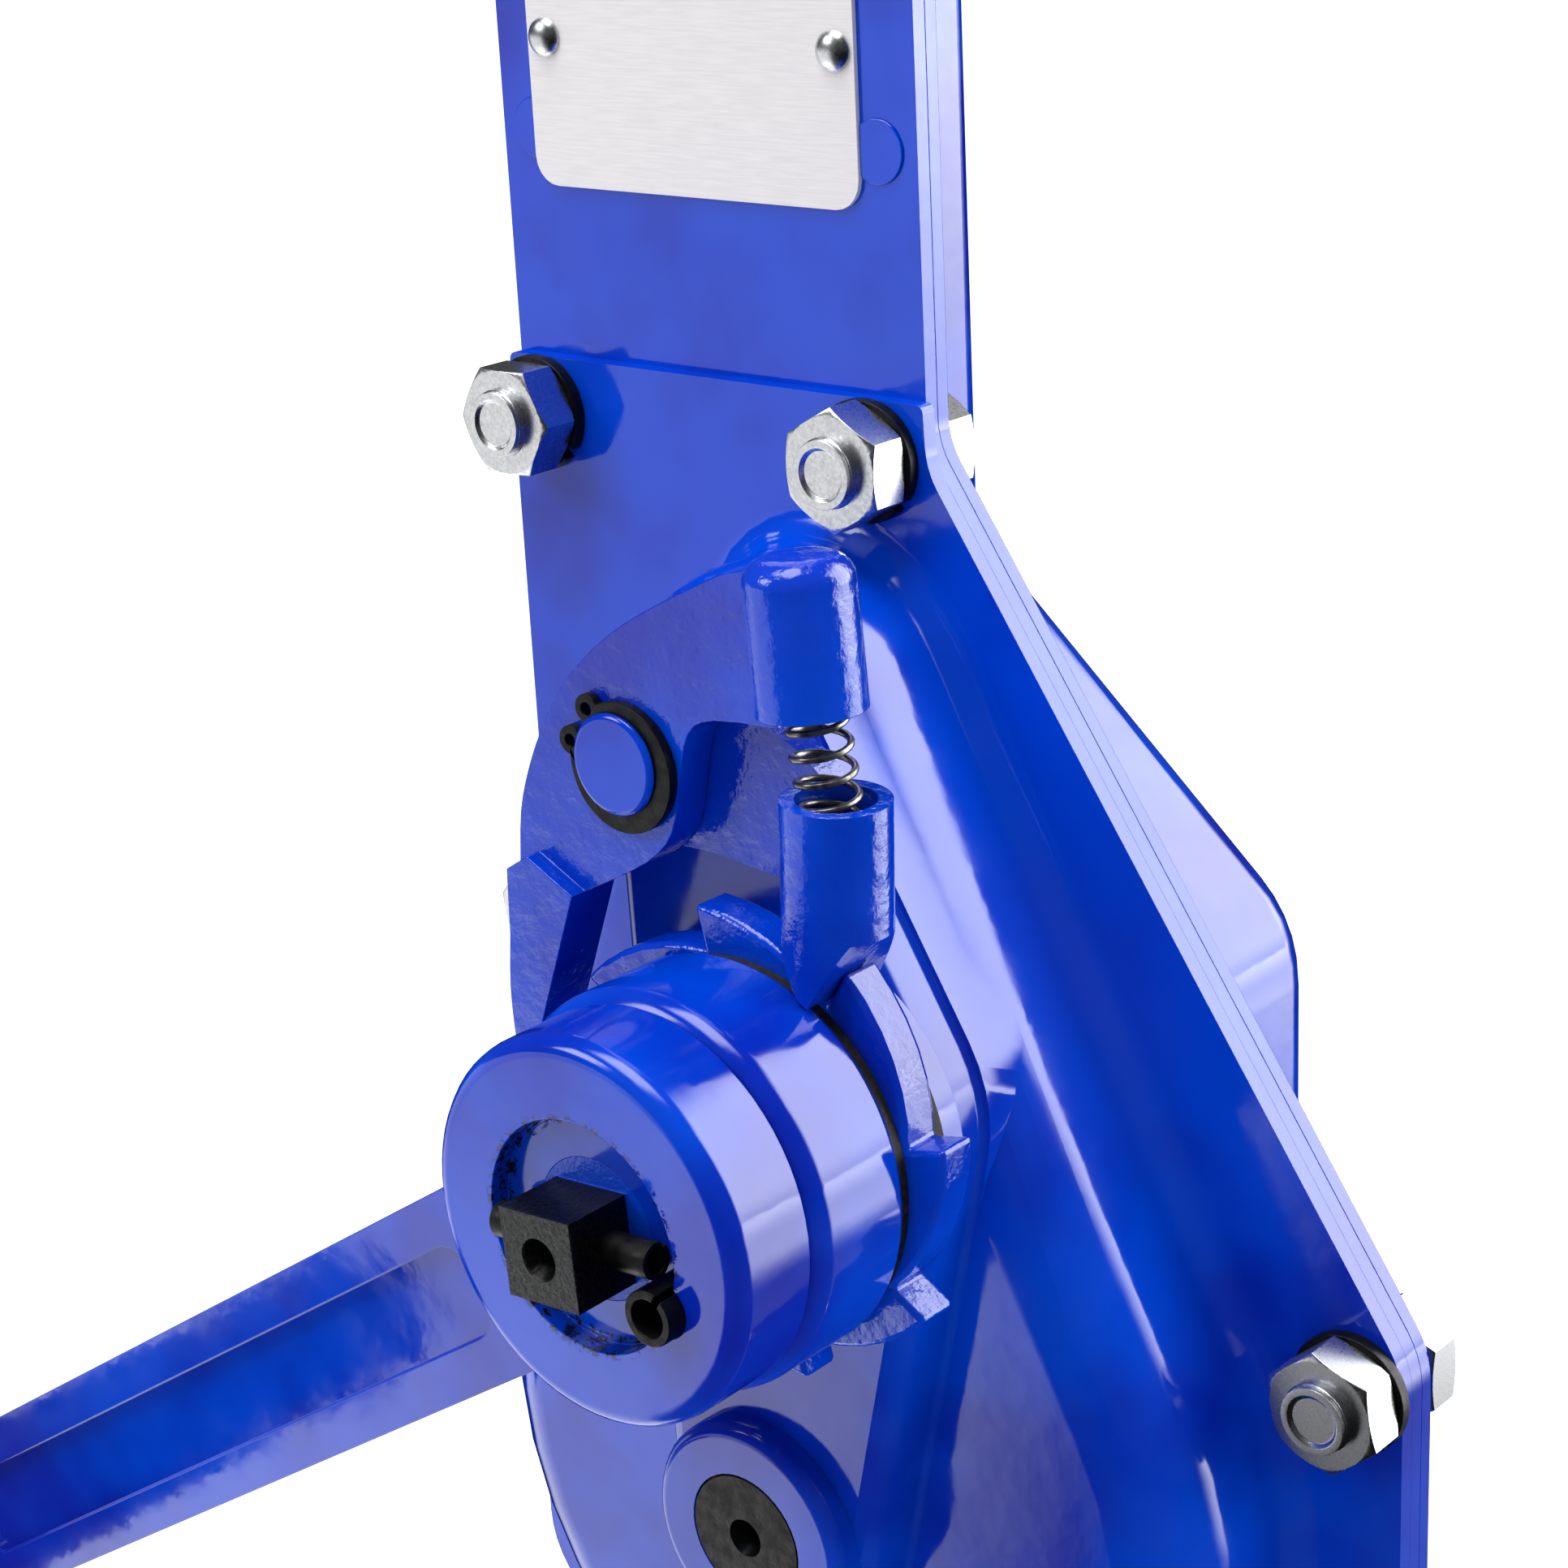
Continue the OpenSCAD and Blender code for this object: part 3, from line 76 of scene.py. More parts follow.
# How far short of the cap's floor the spring's top stays at the pawls' limit
# Radii between which the enamel is torn round the eye's recess, in millimetres
TORN_RING = (14.6, 17.4)


def middle(node):
    """Middle of a CAD node's box, in metres."""
    low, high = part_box(node)
    return (Vector(low) + Vector(high)) / 2


CRANK = middle("drive_shaft")
GRIP = middle("crank_grip")
PAWL_PIN = middle("pawl_pin")


class JackSizes(bpy.types.PropertyGroup):
    """Sizes of the small forms that the solids leave out."""

    plate_edge: FloatProperty(
        name="Plate Edge", description="Radius on the edges of the casing's plates",
        default=0.001, min=0.0, unit="LENGTH")
    casting_edge: FloatProperty(
        name="Casting Edge", description="Radius on the edges of pawls, crank and ratchet wheel",
        default=0.0009, min=0.0, unit="LENGTH")
    fine_edge: FloatProperty(
        name="Fine Edge", description="Radius on the edges of pins, nuts and rings",
        default=0.00025, min=0.0, unit="LENGTH")
    thread_pitch: FloatProperty(
        name="Thread Pitch", description="Pitch of the cover bolts' threads",
        default=0.0015, min=0.0005, unit="LENGTH")
    thread_depth: FloatProperty(
        name="Thread Depth", description="Depth of the cover bolts' threads",
        default=0.0007, min=0.0001, unit="LENGTH")
    grip_ribs: IntProperty(
        name="Grip Ribs", description="Moulded ribs round the crank's grip", default=11, min=3)
    rib_height: FloatProperty(
        name="Rib Height", description="Height of the ribs on the crank's grip",
        default=0.0007, min=0.0, unit="LENGTH")
    wire_sides: IntProperty(
        name="Wire Sides", description="Sides of the spring wire's section", default=12, min=6)
    spring_curls: FloatProperty(
        name="Spring Curls", description="Curls of the pawl spring, as in its solid", default=8.5, min=1.0)
    wire_d: FloatProperty(
        name="Wire Diameter", description="Diameter of the pawl spring's wire", default=0.001, min=0.0002,
        unit="LENGTH")
    coil_r: FloatProperty(
        name="Coil Radius", description="Radius of the pawl spring at the middle of its wire",
        default=0.004, min=0.001, unit="LENGTH")


class JackColours(bpy.types.PropertyGroup):
    """Colours of the finishes, as sRGB values."""

    enamel: FloatVectorProperty(
        name="Enamel", description="Blue gloss enamel", subtype="COLOR_GAMMA",
        default=(0.0, 0.265, 0.81), size=3, min=0.0, max=1.0)
    enamel_deep: FloatVectorProperty(
        name="Deep Enamel", description="Enamel where it has run together", subtype="COLOR_GAMMA",
        default=(0.02, 0.14, 0.66), size=3, min=0.0, max=1.0)
    zinc: FloatVectorProperty(
        name="Zinc", description="Bright zinc plating", subtype="COLOR_GAMMA",
        default=(0.86, 0.865, 0.87), size=3, min=0.0, max=1.0)
    black_steel: FloatVectorProperty(
        name="Black Steel", description="Blackened steel", subtype="COLOR_GAMMA",
        default=(0.085, 0.085, 0.09), size=3, min=0.0, max=1.0)
    bare_steel: FloatVectorProperty(
        name="Bare Steel", description="Oiled machined steel", subtype="COLOR_GAMMA",
        default=(0.6, 0.6, 0.61), size=3, min=0.0, max=1.0)
    sheet: FloatVectorProperty(
        name="Plate Sheet", description="Bare satin sheet of the nameplate", subtype="COLOR_GAMMA",
        default=(0.945, 0.935, 0.94), size=3, min=0.0, max=1.0)
    floor: FloatVectorProperty(
        name="Floor", description="Pale studio floor", subtype="COLOR_GAMMA",
        default=(0.95, 0.95, 0.95), size=3, min=0.0, max=1.0)


def sizes():
    return bpy.context.scene.jack_sizes


def colours():
    return bpy.context.scene.jack_colours


def linear(srgb):
    """A colour for a shader from an sRGB hex string or three sRGB values."""
    if isinstance(srgb, str):
        srgb = [int(srgb[i:i + 2], 16) / 255 for i in (1, 3, 5)]
    return tuple(c / 12.92 if c <= 0.04045 else ((c + 0.055) / 1.055) ** 2.4 for c in srgb) + (1.0,)


def per_metre(size_mm):
    """Texture scale at which one cell of a pattern is size_mm across."""
    return 1000 / size_mm


def add(tree, kind, settings=None, links=None):
    """Adds a node, sets its properties, and links or sets its sockets."""
    made = tree.nodes.new(kind)
    for key, value in (settings or {}).items():
        setattr(made, key, value)
    for key, value in (links or {}).items():
        if isinstance(value, bpy.types.NodeSocket):
            tree.links.new(value, made.inputs[key])
        else:
            made.inputs[key].default_value = value
    return made


def new_material(name):
    """An empty node material, its shader and its output coordinates."""
    material = bpy.data.materials.new(name)
    material.use_nodes = True
    tree = material.node_tree
    tree.nodes.clear()
    shader = add(tree, "ShaderNodeBsdfPrincipled")
    add(tree, "ShaderNodeOutputMaterial", links={"Surface": shader.outputs["BSDF"]})
    return material, tree, shader, add(tree, "ShaderNodeTexCoord").outputs["Object"]


def metres(size_mm):
    return size_mm * MM


# Nodes in most use: type, settings, inputs in order (a pair turns millimetres to the input's unit) and output
KINDS = {
    "noise": ("ShaderNodeTexNoise", {}, ("Vector", ("Scale", per_metre), "Detail", "Roughness"), "Fac"),
    "between": ("ShaderNodeMapRange", {"interpolation_type": "SMOOTHSTEP"},
                ("Value", "From Min", "From Max", "To Min", "To Max"), "Result"),
    "blend": ("ShaderNodeMix", {"data_type": "RGBA"}, (0, 6, 7), 2),
    "times": ("ShaderNodeMath", {"operation": "MULTIPLY"}, (0, 1), 0),
    "bump": ("ShaderNodeBump", {}, ("Height", ("Distance", metres), "Strength", "Normal"), "Normal"),
}


def put(tree, kind, *values):
    """Adds a node from KINDS, feeds its inputs in order and returns its output."""
    node_type, settings, inputs, output = KINDS[kind]
    links = {}
    for target, value in zip(inputs, values):
        if isinstance(target, tuple):
            target, convert = target
            value = convert(value)
        links[target] = value
    return add(tree, node_type, settings, links).outputs[output]


def edge_mask(tree, radius_mm):
    """One on sharp edges and nought on flat faces, from the rounded and the true normal."""
    rounded = add(tree, "ShaderNodeBevel", {"samples": 6}, {"Radius": radius_mm * MM}).outputs["Normal"]
    true = add(tree, "ShaderNodeNewGeometry").outputs["Normal"]
    dot = add(tree, "ShaderNodeVectorMath", {"operation": "DOT_PRODUCT"},
              {0: rounded, 1: true}).outputs["Value"]
    return put(tree, "between", dot, 0.995, 0.9)


def gloss_enamel(name="alkyd_gloss_enamel_blue", chip_ring=None, cast=False):
    """Sprayed alkyd enamel: deep gloss, slight orange peel, runs, small chips, and lumps on castings."""
    material, tree, shader, where = new_material(name)
    pools = put(tree, "noise", where, 38, 3)
    colour = put(tree, "blend", put(tree, "between", pools, 0.38, 0.68), linear(colours().enamel),
                 linear(colours().enamel_deep))
    # painted reflection: faint purple patches, laid at random, stand in for the purple sheen that the gloss
    # reflects
    painted_purple_reflection = put(tree, "between", put(tree, "noise", where, 55, 3), 0.5, 0.78, 0.0, 0.22)
    colour = put(tree, "blend", painted_purple_reflection, colour, linear("#3420ac"))
    # chips: only where an edge and a coarse patch meet
    patch = put(tree, "between", put(tree, "noise", where, 4.5, 4, 0.65), 0.68, 0.72)
    chips = put(tree, "times", edge_mask(tree, 0.5), patch)
    if chip_ring is not None:
        axis, inner_mm, outer_mm = chip_ring
        offset = add(tree, "ShaderNodeVectorMath", {"operation": "SUBTRACT"}, {0: where, 1: axis}).outputs[0]
        flat = add(tree, "ShaderNodeVectorMath", {"operation": "MULTIPLY"},
                   {0: offset, 1: (1, 0, 1)}).outputs[0]
        radius = add(tree, "ShaderNodeVectorMath", {"operation": "LENGTH"}, {0: flat}).outputs["Value"]
        ring = put(tree, "times", put(tree, "between", radius, inner_mm * MM, (inner_mm + 0.5) * MM),
                     put(tree, "between", radius, outer_mm * MM, (outer_mm - 1.2) * MM))
        torn = put(tree, "times", ring,
                   put(tree, "between", put(tree, "noise", where, 1.5, 5, 0.75), 0.52, 0.55))
        chips = add(tree, "ShaderNodeMath", {"operation": "MAXIMUM"}, {0: chips, 1: torn}).outputs[0]
    tree.links.new(put(tree, "blend", chips, colour, linear("#0c0b0f")), shader.inputs["Base Color"])
    peel = put(tree, "noise", where, 3.2, 2)
    lumps = put(tree, "noise", where, 14, 2)
    relief = put(tree, "bump", lumps, 0.35, 0.35)
    if cast:
        relief = put(tree, "bump", put(tree, "noise", where, 4, 4, 0.55), 0.45, 0.8, relief)
    relief = put(tree, "bump", peel, 0.06, 0.4, relief)
    relief = put(tree, "bump", chips, -0.06, 0.8, relief)
    tree.links.new(relief, shader.inputs["Normal"])
    tree.links.new(put(tree, "between", put(tree, "noise", where, 9, 3), 0.3, 0.75, 0.07, 0.15),
                   shader.inputs["Roughness"])
    shader.inputs["IOR"].default_value = 1.52
    return material


def bright_zinc():
    """Blue passivated zinc plating on cold formed steel: bright, with faint die marks."""
    material, tree, shader, where = new_material("bright_zinc_plating")
    tone = put(tree, "noise", where, 0.5, 3, 0.6)
    tree.links.new(put(tree, "blend", put(tree, "between", tone, 0.3, 0.8), linear(colours().zinc),
                       linear("#c3c6ca")),
                   shader.inputs["Base Color"])
    tree.links.new(put(tree, "between", tone, 0.3, 0.75, 0.26, 0.34), shader.inputs["Roughness"])
    tree.links.new(put(tree, "bump", put(tree, "noise", where, 0.45, 3), 0.012, 0.35),
                   shader.inputs["Normal"])
    shader.inputs["Metallic"].default_value = 1.0
    return material


def blackened_steel():
    """Hot blackened steel: dark oxide film, fine grit, traces of rust in the hollows."""
    material, tree, shader, where = new_material("hot_blackened_steel")
    rust = put(tree, "between", put(tree, "noise", where, 3.4, 5, 0.7), 0.68, 0.78, 0.0, 0.35)
    tone = put(tree, "blend", put(tree, "between", put(tree, "noise", where, 1.1, 4), 0.35, 0.7),
                        linear(colours().black_steel), linear("#0f0f11"))
    tree.links.new(put(tree, "blend", rust, tone, linear("#4a2c1c")), shader.inputs["Base Color"])
    tree.links.new(put(tree, "between", put(tree, "noise", where, 2.0, 3), 0.3, 0.7, 0.34, 0.55),
                   shader.inputs["Roughness"])
    tree.links.new(put(tree, "bump", put(tree, "noise", where, 0.7, 3, 0.6), 0.08, 0.6),
                   shader.inputs["Normal"])
    shader.inputs["Metallic"].default_value = 0.6
    return material


def filed_square(front_m, root_m):
    """Blackened square end, filed by hand, its front face sawn; the round end behind it is painted."""
    material, tree, shader, where = new_material("filed_black_square")
    axes = add(tree, "ShaderNodeSeparateXYZ", links={"Vector": where}).outputs
    front = put(tree, "between", axes["Y"], front_m + 0.0004, front_m + 0.0001)
    grain = put(tree, "noise", where, 0.5, 4, 0.7)
    side = put(tree, "blend", put(tree, "between", grain, 0.4, 0.7), linear("#0b0b0c"), linear("#26272a"))
    face = put(tree, "blend", put(tree, "between", grain, 0.3, 0.7), linear("#18191a"), linear("#3b3d3e"))
    painted = put(tree, "between", axes["Y"], root_m - 0.35 * MM, root_m - 0.15 * MM)
    tree.links.new(put(tree, "blend", painted, put(tree, "blend", front, side, face),
                       linear(colours().enamel)),
                   shader.inputs["Base Color"])
    tree.links.new(put(tree, "between", painted, 0.0, 1.0, 0.7, 0.0), shader.inputs["Metallic"])
    tree.links.new(put(tree, "between", painted, 0.0, 1.0, 0.36, 0.12), shader.inputs["Roughness"])
    drawn = add(tree, "ShaderNodeMapping",
                links={"Vector": where, "Scale": (1.0, 0.22, 1.0)}).outputs["Vector"]
    relief = put(tree, "bump", put(tree, "noise", drawn, 0.9, 4, 0.7), 0.22, 0.9)
    tree.links.new(relief, shader.inputs["Normal"])
    return material


def spring_wire():
    """Oil hardened spring wire: smooth and dark grey, with a soft shine along the wire."""
    material, tree, shader, where = new_material("oil_hardened_spring_wire")
    tree.links.new(put(tree, "blend", put(tree, "between", put(tree, "noise", where, 1.6, 3), 0.35, 0.7),
                                linear("#8d8a84"), linear("#55524d")), shader.inputs["Base Color"])
    tree.links.new(put(tree, "bump", put(tree, "noise", where, 0.4, 2), 0.01, 0.4), shader.inputs["Normal"])
    shader.inputs["Roughness"].default_value = 0.28
    shader.inputs["Metallic"].default_value = 0.9
    return material


def machined_steel():
    """Milled carbon steel under an oil film: fine cutter marks and a grey sheen."""
    material, tree, shader, where = new_material("oiled_machined_steel")
    marks = add(tree, "ShaderNodeTexWave", {"bands_direction": "Z"}, {
        "Vector": where, "Scale": per_metre(6), "Distortion": 1.5, "Detail": 2.0}).outputs["Fac"]
    tone = put(tree, "noise", where, 7, 4)
    tree.links.new(put(tree, "blend", put(tree, "between", tone, 0.35, 0.7), linear(colours().bare_steel),
                       linear("#6d6b68")),
                   shader.inputs["Base Color"])
    tree.links.new(put(tree, "between", tone, 0.3, 0.7, 0.3, 0.46), shader.inputs["Roughness"])
    tree.links.new(put(tree, "bump", marks, 0.02, 0.4), shader.inputs["Normal"])
    shader.inputs["Metallic"].default_value = 1.0
    return material


def sintered_bronze():
    """Sintered bronze: fine open pores and a dull brown yellow."""
    material, tree, shader, where = new_material("sintered_bronze")
    pores = add(tree, "ShaderNodeTexVoronoi",
                links={"Vector": where, "Scale": per_metre(0.8)}).outputs["Distance"]
    tree.links.new(put(tree, "blend", put(tree, "between", pores, 0.1, 0.5), linear("#5c401f"),
                       linear("#ad854d")),
                   shader.inputs["Base Color"])
    tree.links.new(put(tree, "bump", pores, 0.04, 0.5), shader.inputs["Normal"])
    shader.inputs["Roughness"].default_value = 0.42
    shader.inputs["Metallic"].default_value = 0.9
    return material


def friction_lining():
    """Pressed fibre lining: dull, nearly black brown with slightly lighter fibres."""
    material, tree, shader, where = new_material("pressed_friction_lining")
    fibres = put(tree, "noise", where, 0.9, 5, 0.75)
    tree.links.new(put(tree, "blend", put(tree, "between", fibres, 0.45, 0.7), linear("#15120f"),
                       linear("#332b24")),
                   shader.inputs["Base Color"])
    tree.links.new(put(tree, "bump", fibres, 0.08, 0.6), shader.inputs["Normal"])
    shader.inputs["Roughness"].default_value = 0.8
    return material


def satin_sheet():
    """Anodised aluminium sheet: pale, satin, with a very fine roll direction."""
    material, tree, shader, where = new_material("satin_anodised_sheet")
    rolled = add(tree, "ShaderNodeMapping",
                 links={"Vector": where, "Scale": (0.05, 1.0, 1.0)}).outputs["Vector"]
    grain = put(tree, "noise", rolled, 0.35, 2)
    tree.links.new(put(tree, "blend", put(tree, "between", grain, 0.3, 0.7), linear(colours().sheet),
                       linear("#e9e6e8")),
                   shader.inputs["Base Color"])
    tree.links.new(put(tree, "bump", grain, 0.01, 0.3), shader.inputs["Normal"])
    shader.inputs["Roughness"].default_value = 0.38
    shader.inputs["Metallic"].default_value = 0.25
    return material


def moulded_grip():
    """Injection moulded polypropylene: black with a fine spark eroded texture."""
    material, tree, shader, where = new_material("moulded_black_polypropylene")
    grain = put(tree, "noise", where, 0.6, 3, 0.6)
    tree.links.new(put(tree, "blend", put(tree, "between", put(tree, "noise", where, 20, 2), 0.3, 0.7),
                                linear("#19191b"), linear("#232325")), shader.inputs["Base Color"])
    tree.links.new(put(tree, "between", grain, 0.3, 0.7, 0.42, 0.6), shader.inputs["Roughness"])
    tree.links.new(put(tree, "bump", grain, 0.05, 0.5), shader.inputs["Normal"])
    return material


MATERIALS = {}


def finish_for(key):
    """The material of that finish, made once."""
    makers = {
        "enamel": gloss_enamel,
        "eye_enamel": lambda: gloss_enamel("alkyd_gloss_enamel_blue_chipped", (tuple(CRANK), *TORN_RING)),
        "zinc": bright_zinc,
        "black": blackened_steel,
        "cast_enamel": lambda: gloss_enamel("alkyd_gloss_enamel_blue_on_casting", cast=True),
        "square": lambda: filed_square(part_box("drive_shaft")[0][1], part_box("thread_bush")[0][1]),
        "wire": spring_wire,
        "steel": machined_steel,
        "bronze": sintered_bronze,
        "lining": friction_lining,
        "sheet": satin_sheet,
        "grip": moulded_grip,
    }
    if key not in MATERIALS:
        MATERIALS[key] = makers[key]()
    return MATERIALS[key]


def settled(maker):
    """The object's evaluated mesh as a plain one, its modifiers gone."""
    mesh = bpy.data.meshes.new_from_object(maker.evaluated_get(bpy.context.evaluated_depsgraph_get()))
    maker.modifiers.clear()
    old = maker.data
    maker.data = mesh
    if isinstance(old, bpy.types.Mesh) and old.users == 0:
        bpy.data.meshes.remove(old)
    return maker


def placed(name, mesh, material):
    made = bpy.data.objects.new(name, mesh)
    bpy.context.scene.collection.objects.link(made)
    mesh.materials.clear()
    mesh.materials.append(material)
    return made


def stands_for(piece, node):
    """The piece rides and hides as its CAD node says."""
    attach(piece, BODY[node])
    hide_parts(node)


def dish_ends(work):
    """Each bolt's front end gets a flat rim and a shallow dish, as cold forming leaves it."""
    front = min(vert.co.y for vert in work.verts)
    ends = [face for face in work.faces
            if face.normal.y < -0.99 and abs(face.calc_center_median().y - front) < 0.1 * MM]
    bmesh.ops.inset_individual(work, faces=ends, thickness=1.1 * MM, depth=0.0)
    bmesh.ops.inset_individual(work, faces=ends, thickness=0.5 * MM, depth=-0.5 * MM)


def refined(name, node, finish, edge, steps=2, angle=38, shape=None):
    """A merged copy of a CAD node whose sharp edges are rounded and whose drawn faces run smooth."""
    work = bmesh.new()
    work.from_mesh(frame["nodes"][node].data)
    bmesh.ops.remove_doubles(work, verts=work.verts, dist=2e-6)
    bmesh.ops.dissolve_limit(work, angle_limit=math.radians(0.4), verts=work.verts, edges=work.edges)
    if shape is not None:
        work.normal_update()
        shape(work)
    mesh = bpy.data.meshes.new(name)
    work.to_mesh(mesh)
    work.free()
    piece = placed(name, mesh, finish_for(finish))
    mesh.shade_smooth()
    mesh.set_sharp_from_angle(angle=math.radians(angle))
    if edge > 0:
        bevel = piece.modifiers.new("rounded edges", "BEVEL")
        bevel.width, bevel.segments = edge, steps
        bevel.limit_method, bevel.angle_limit = "ANGLE", math.radians(angle)
        bevel.harden_normals = True
    weighted = piece.modifiers.new("flat faces stay flat", "WEIGHTED_NORMAL")
    weighted.keep_sharp = True
    settled(piece)
    stands_for(piece, node)
    return piece


def dress_node(node, finish):
    """A CAD node that stays as it is gets its finish."""
    for slot in frame["nodes"][node].material_slots:
        slot.link = "OBJECT"
        slot.material = finish_for(finish)


def geometry_tree(name, inputs):
    """A geometry node group with a mesh in, a mesh out and the named inputs."""
    tree = bpy.data.node_groups.new(name, "GeometryNodeTree")
    tree.interface.new_socket("Geometry", in_out="INPUT", socket_type="NodeSocketGeometry")
    tree.interface.new_socket("Geometry", in_out="OUTPUT", socket_type="NodeSocketGeometry")
    for label, kind in inputs:
        tree.interface.new_socket(label, in_out="INPUT", socket_type=kind)
    return tree, add(tree, "NodeGroupInput").outputs


def run_tree(piece, tree, values):
    """Runs a geometry node group on a piece, its inputs set by their identifiers."""
    modifier = piece.modifiers.new(tree.name, "NODES")
    modifier.node_group = tree
    for item in tree.interface.items_tree:
        if item.in_out == "INPUT" and item.name in values:
            modifier[item.identifier] = values[item.name]
    return settled(piece)


def points_piece(name, places, material):
    mesh = bpy.data.meshes.new(name)
    mesh.from_pydata(places, [], [])
    return placed(name, mesh, material)


def bolt_places():
    """Axis of each cover bolt, from the loose solids of the nuts' node."""
    work = bmesh.new()
    work.from_mesh(frame["nodes"]["cover_nuts"].data)
    bmesh.ops.remove_doubles(work, verts=work.verts, dist=2e-6)
    left, places = set(work.verts), []
    while left:
        group, front = set(), [left.pop()]
        while front:
            vert = front.pop()
            group.add(vert)
            for edge in vert.link_edges:
                other = edge.other_vert(vert)
                if other in left:
                    left.remove(other)
                    front.append(other)
        low = Vector(map(min, *[v.co for v in group]))
        high = Vector(map(max, *[v.co for v in group]))
        places.append((low + high) / 2)
    work.free()
    return sorted(places, key=lambda p: (p.z, p.x))


class JACK_OT_casing(bpy.types.Operator):
    """Makes the casing's plate, drawn cover, rear channel and weld spots in gloss enamel"""

    bl_idname = "jack.casing"
    bl_label = "Casing"

    def execute(self, context):
        edge = sizes().plate_edge
        refined("plate_enamelled", "middle_plate", "enamel", edge)
        refined("cover_drawn", "gear_cover", "enamel", edge)
        refined("channel_welded", "rear_casing", "enamel", edge)
        refined("weld_spots", "plug_welds", "enamel", 0.2 * MM)
        return {"FINISHED"}


class JACK_OT_fasteners(bpy.types.Operator):
    """Makes the zinc plated nuts and bolts with their threads, and the blackened spring washers"""

    bl_idname = "jack.fasteners"
    bl_label = "Fasteners"

    def execute(self, context):
        edge = sizes().fine_edge
        refined("nuts_plated", "cover_nuts", "zinc", 1.7 * edge)
        refined("bolts_plated", "cover_bolts", "zinc", 1.4 * edge, shape=dish_ends)
        refined("washers_split", "spring_washers", "black", edge)
        self.threads()
        return {"FINISHED"}

    def threads(self):
        """A thread runs round each bolt's end, in front of its nut."""
        tree, given = geometry_tree("bolt threads", [
            ("Radius", "NodeSocketFloat"), ("Pitch", "NodeSocketFloat"),
            ("Depth", "NodeSocketFloat"), ("Turns", "NodeSocketFloat"),
            ("Finish", "NodeSocketMaterial")])
        height = add(tree, "ShaderNodeMath", {"operation": "MULTIPLY"},
                     {0: given["Pitch"], 1: given["Turns"]}).outputs[0]
        helix = add(tree, "GeometryNodeCurveSpiral", links={
            "Resolution": 28, "Rotations": given["Turns"], "Start Radius": given["Radius"],
            "End Radius": given["Radius"], "Height": height}).outputs["Curve"]
        profile = add(tree, "GeometryNodeCurvePrimitiveCircle", links={
            "Resolution": 4, "Radius": given["Depth"]}).outputs["Curve"]
        ridge = add(tree, "GeometryNodeCurveToMesh", links={
            "Curve": helix, "Profile Curve": profile, "Fill Caps": True}).outputs["Mesh"]
        stood = add(tree, "GeometryNodeInstanceOnPoints", links={
            "Points": given["Geometry"], "Instance": ridge,
            "Rotation": (math.radians(90), 0, 0)}).outputs["Instances"]
        real = add(tree, "GeometryNodeRealizeInstances", links={"Geometry": stood}).outputs["Geometry"]
        done = add(tree, "GeometryNodeSetMaterial",
                   links={"Geometry": real, "Material": given["Finish"]}).outputs[0]
        add(tree, "NodeGroupOutput", links={"Geometry": done})
        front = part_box("cover_nuts")[0][1]
        places = [(p.x, front + 0.2 * MM, p.z) for p in bolt_places()]
        threads = points_piece("bolt_threads", places, finish_for("zinc"))
        run_tree(threads, tree, {
            "Radius": 4.95 * MM, "Pitch": sizes().thread_pitch, "Depth": sizes().thread_depth * 0.45,
            "Turns": 1.1, "Finish": finish_for("zinc")})
        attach(threads, BODY["cover_bolts"])


class JACK_OT_nameplate(bpy.types.Operator):
    """Makes the bare nameplate and its domed rivets"""

    bl_idname = "jack.nameplate"
    bl_label = "Nameplate"

    def execute(self, context):
        refined("plate_bare", "nameplate", "sheet", 0.15 * MM)
        refined("rivets_domed", "nameplate_rivets", "zinc", 0.1 * MM, angle=50)
        return {"FINISHED"}


class JACK_OT_drive(bpy.types.Operator):
    """Makes the shafts, gears, keys, bearings and rack guides of the drive"""

    bl_idname = "jack.drive"
    bl_label = "Shafts and Gears"

    def execute(self, context):
        refined("crank_shaft_filed", "drive_shaft", "square", 0.9 * MM, 3)
        refined("pinion_shaft_black", "pinion_shaft", "black", 0.3 * MM)
        refined("cross_pin_rolled", "cross_pin", "black", 0.2 * MM)
        refined("gear_cut", "gear_wheel", "steel", 0.2 * MM)
        for node in ("gear_key", "flange_key"):
            dress_node(node, "steel")
        for node in ("crank_bush_front", "crank_bush_rear", "gear_bush_front", "gear_bush_rear",
                     "rack_guides"):
            dress_node(node, "bronze")
        return {"FINISHED"}


class JACK_OT_brake(bpy.types.Operator):
    """Makes the ratchet wheel between its linings, and the pressure flange behind it"""

    bl_idname = "jack.brake"
    bl_label = "Ratchet and Brake"

    def execute(self, context):
        edge = sizes().casting_edge
        refined("ratchet_cast", "ratchet_wheel", "cast_enamel", edge)
        refined("flange_turned", "pressure_flange", "enamel", edge)
        refined("lining_rear", "friction_disc_rear", "lining", 0.2 * MM)
        refined("lining_front", "friction_disc_front", "lining", 0.2 * MM)
        return {"FINISHED"}


class JACK_OT_crank(bpy.types.Operator):
    """Makes the crank: drum, eye with its chipped ring, bush, stop pin and arm"""

    bl_idname = "jack.crank"
    bl_label = "Crank"

    def execute(self, context):
        edge = sizes().casting_edge
        refined("drum_turned", "brake_hub", "enamel", edge)
        refined("bush_threaded", "thread_bush", "eye_enamel", 0.5 * MM)
        refined("arm_forged", "crank_arm", "eye_enamel", 1.6 * edge, 3)
        refined("stop_pin_rolled", "stop_pin", "black", 0.2 * MM)
        refined("grip_pin_plated", "grip_pin", "zinc", 0.6 * MM)
        refined("grip_washer_plated", "grip_washer", "zinc", sizes().fine_edge)
        return {"FINISHED"}


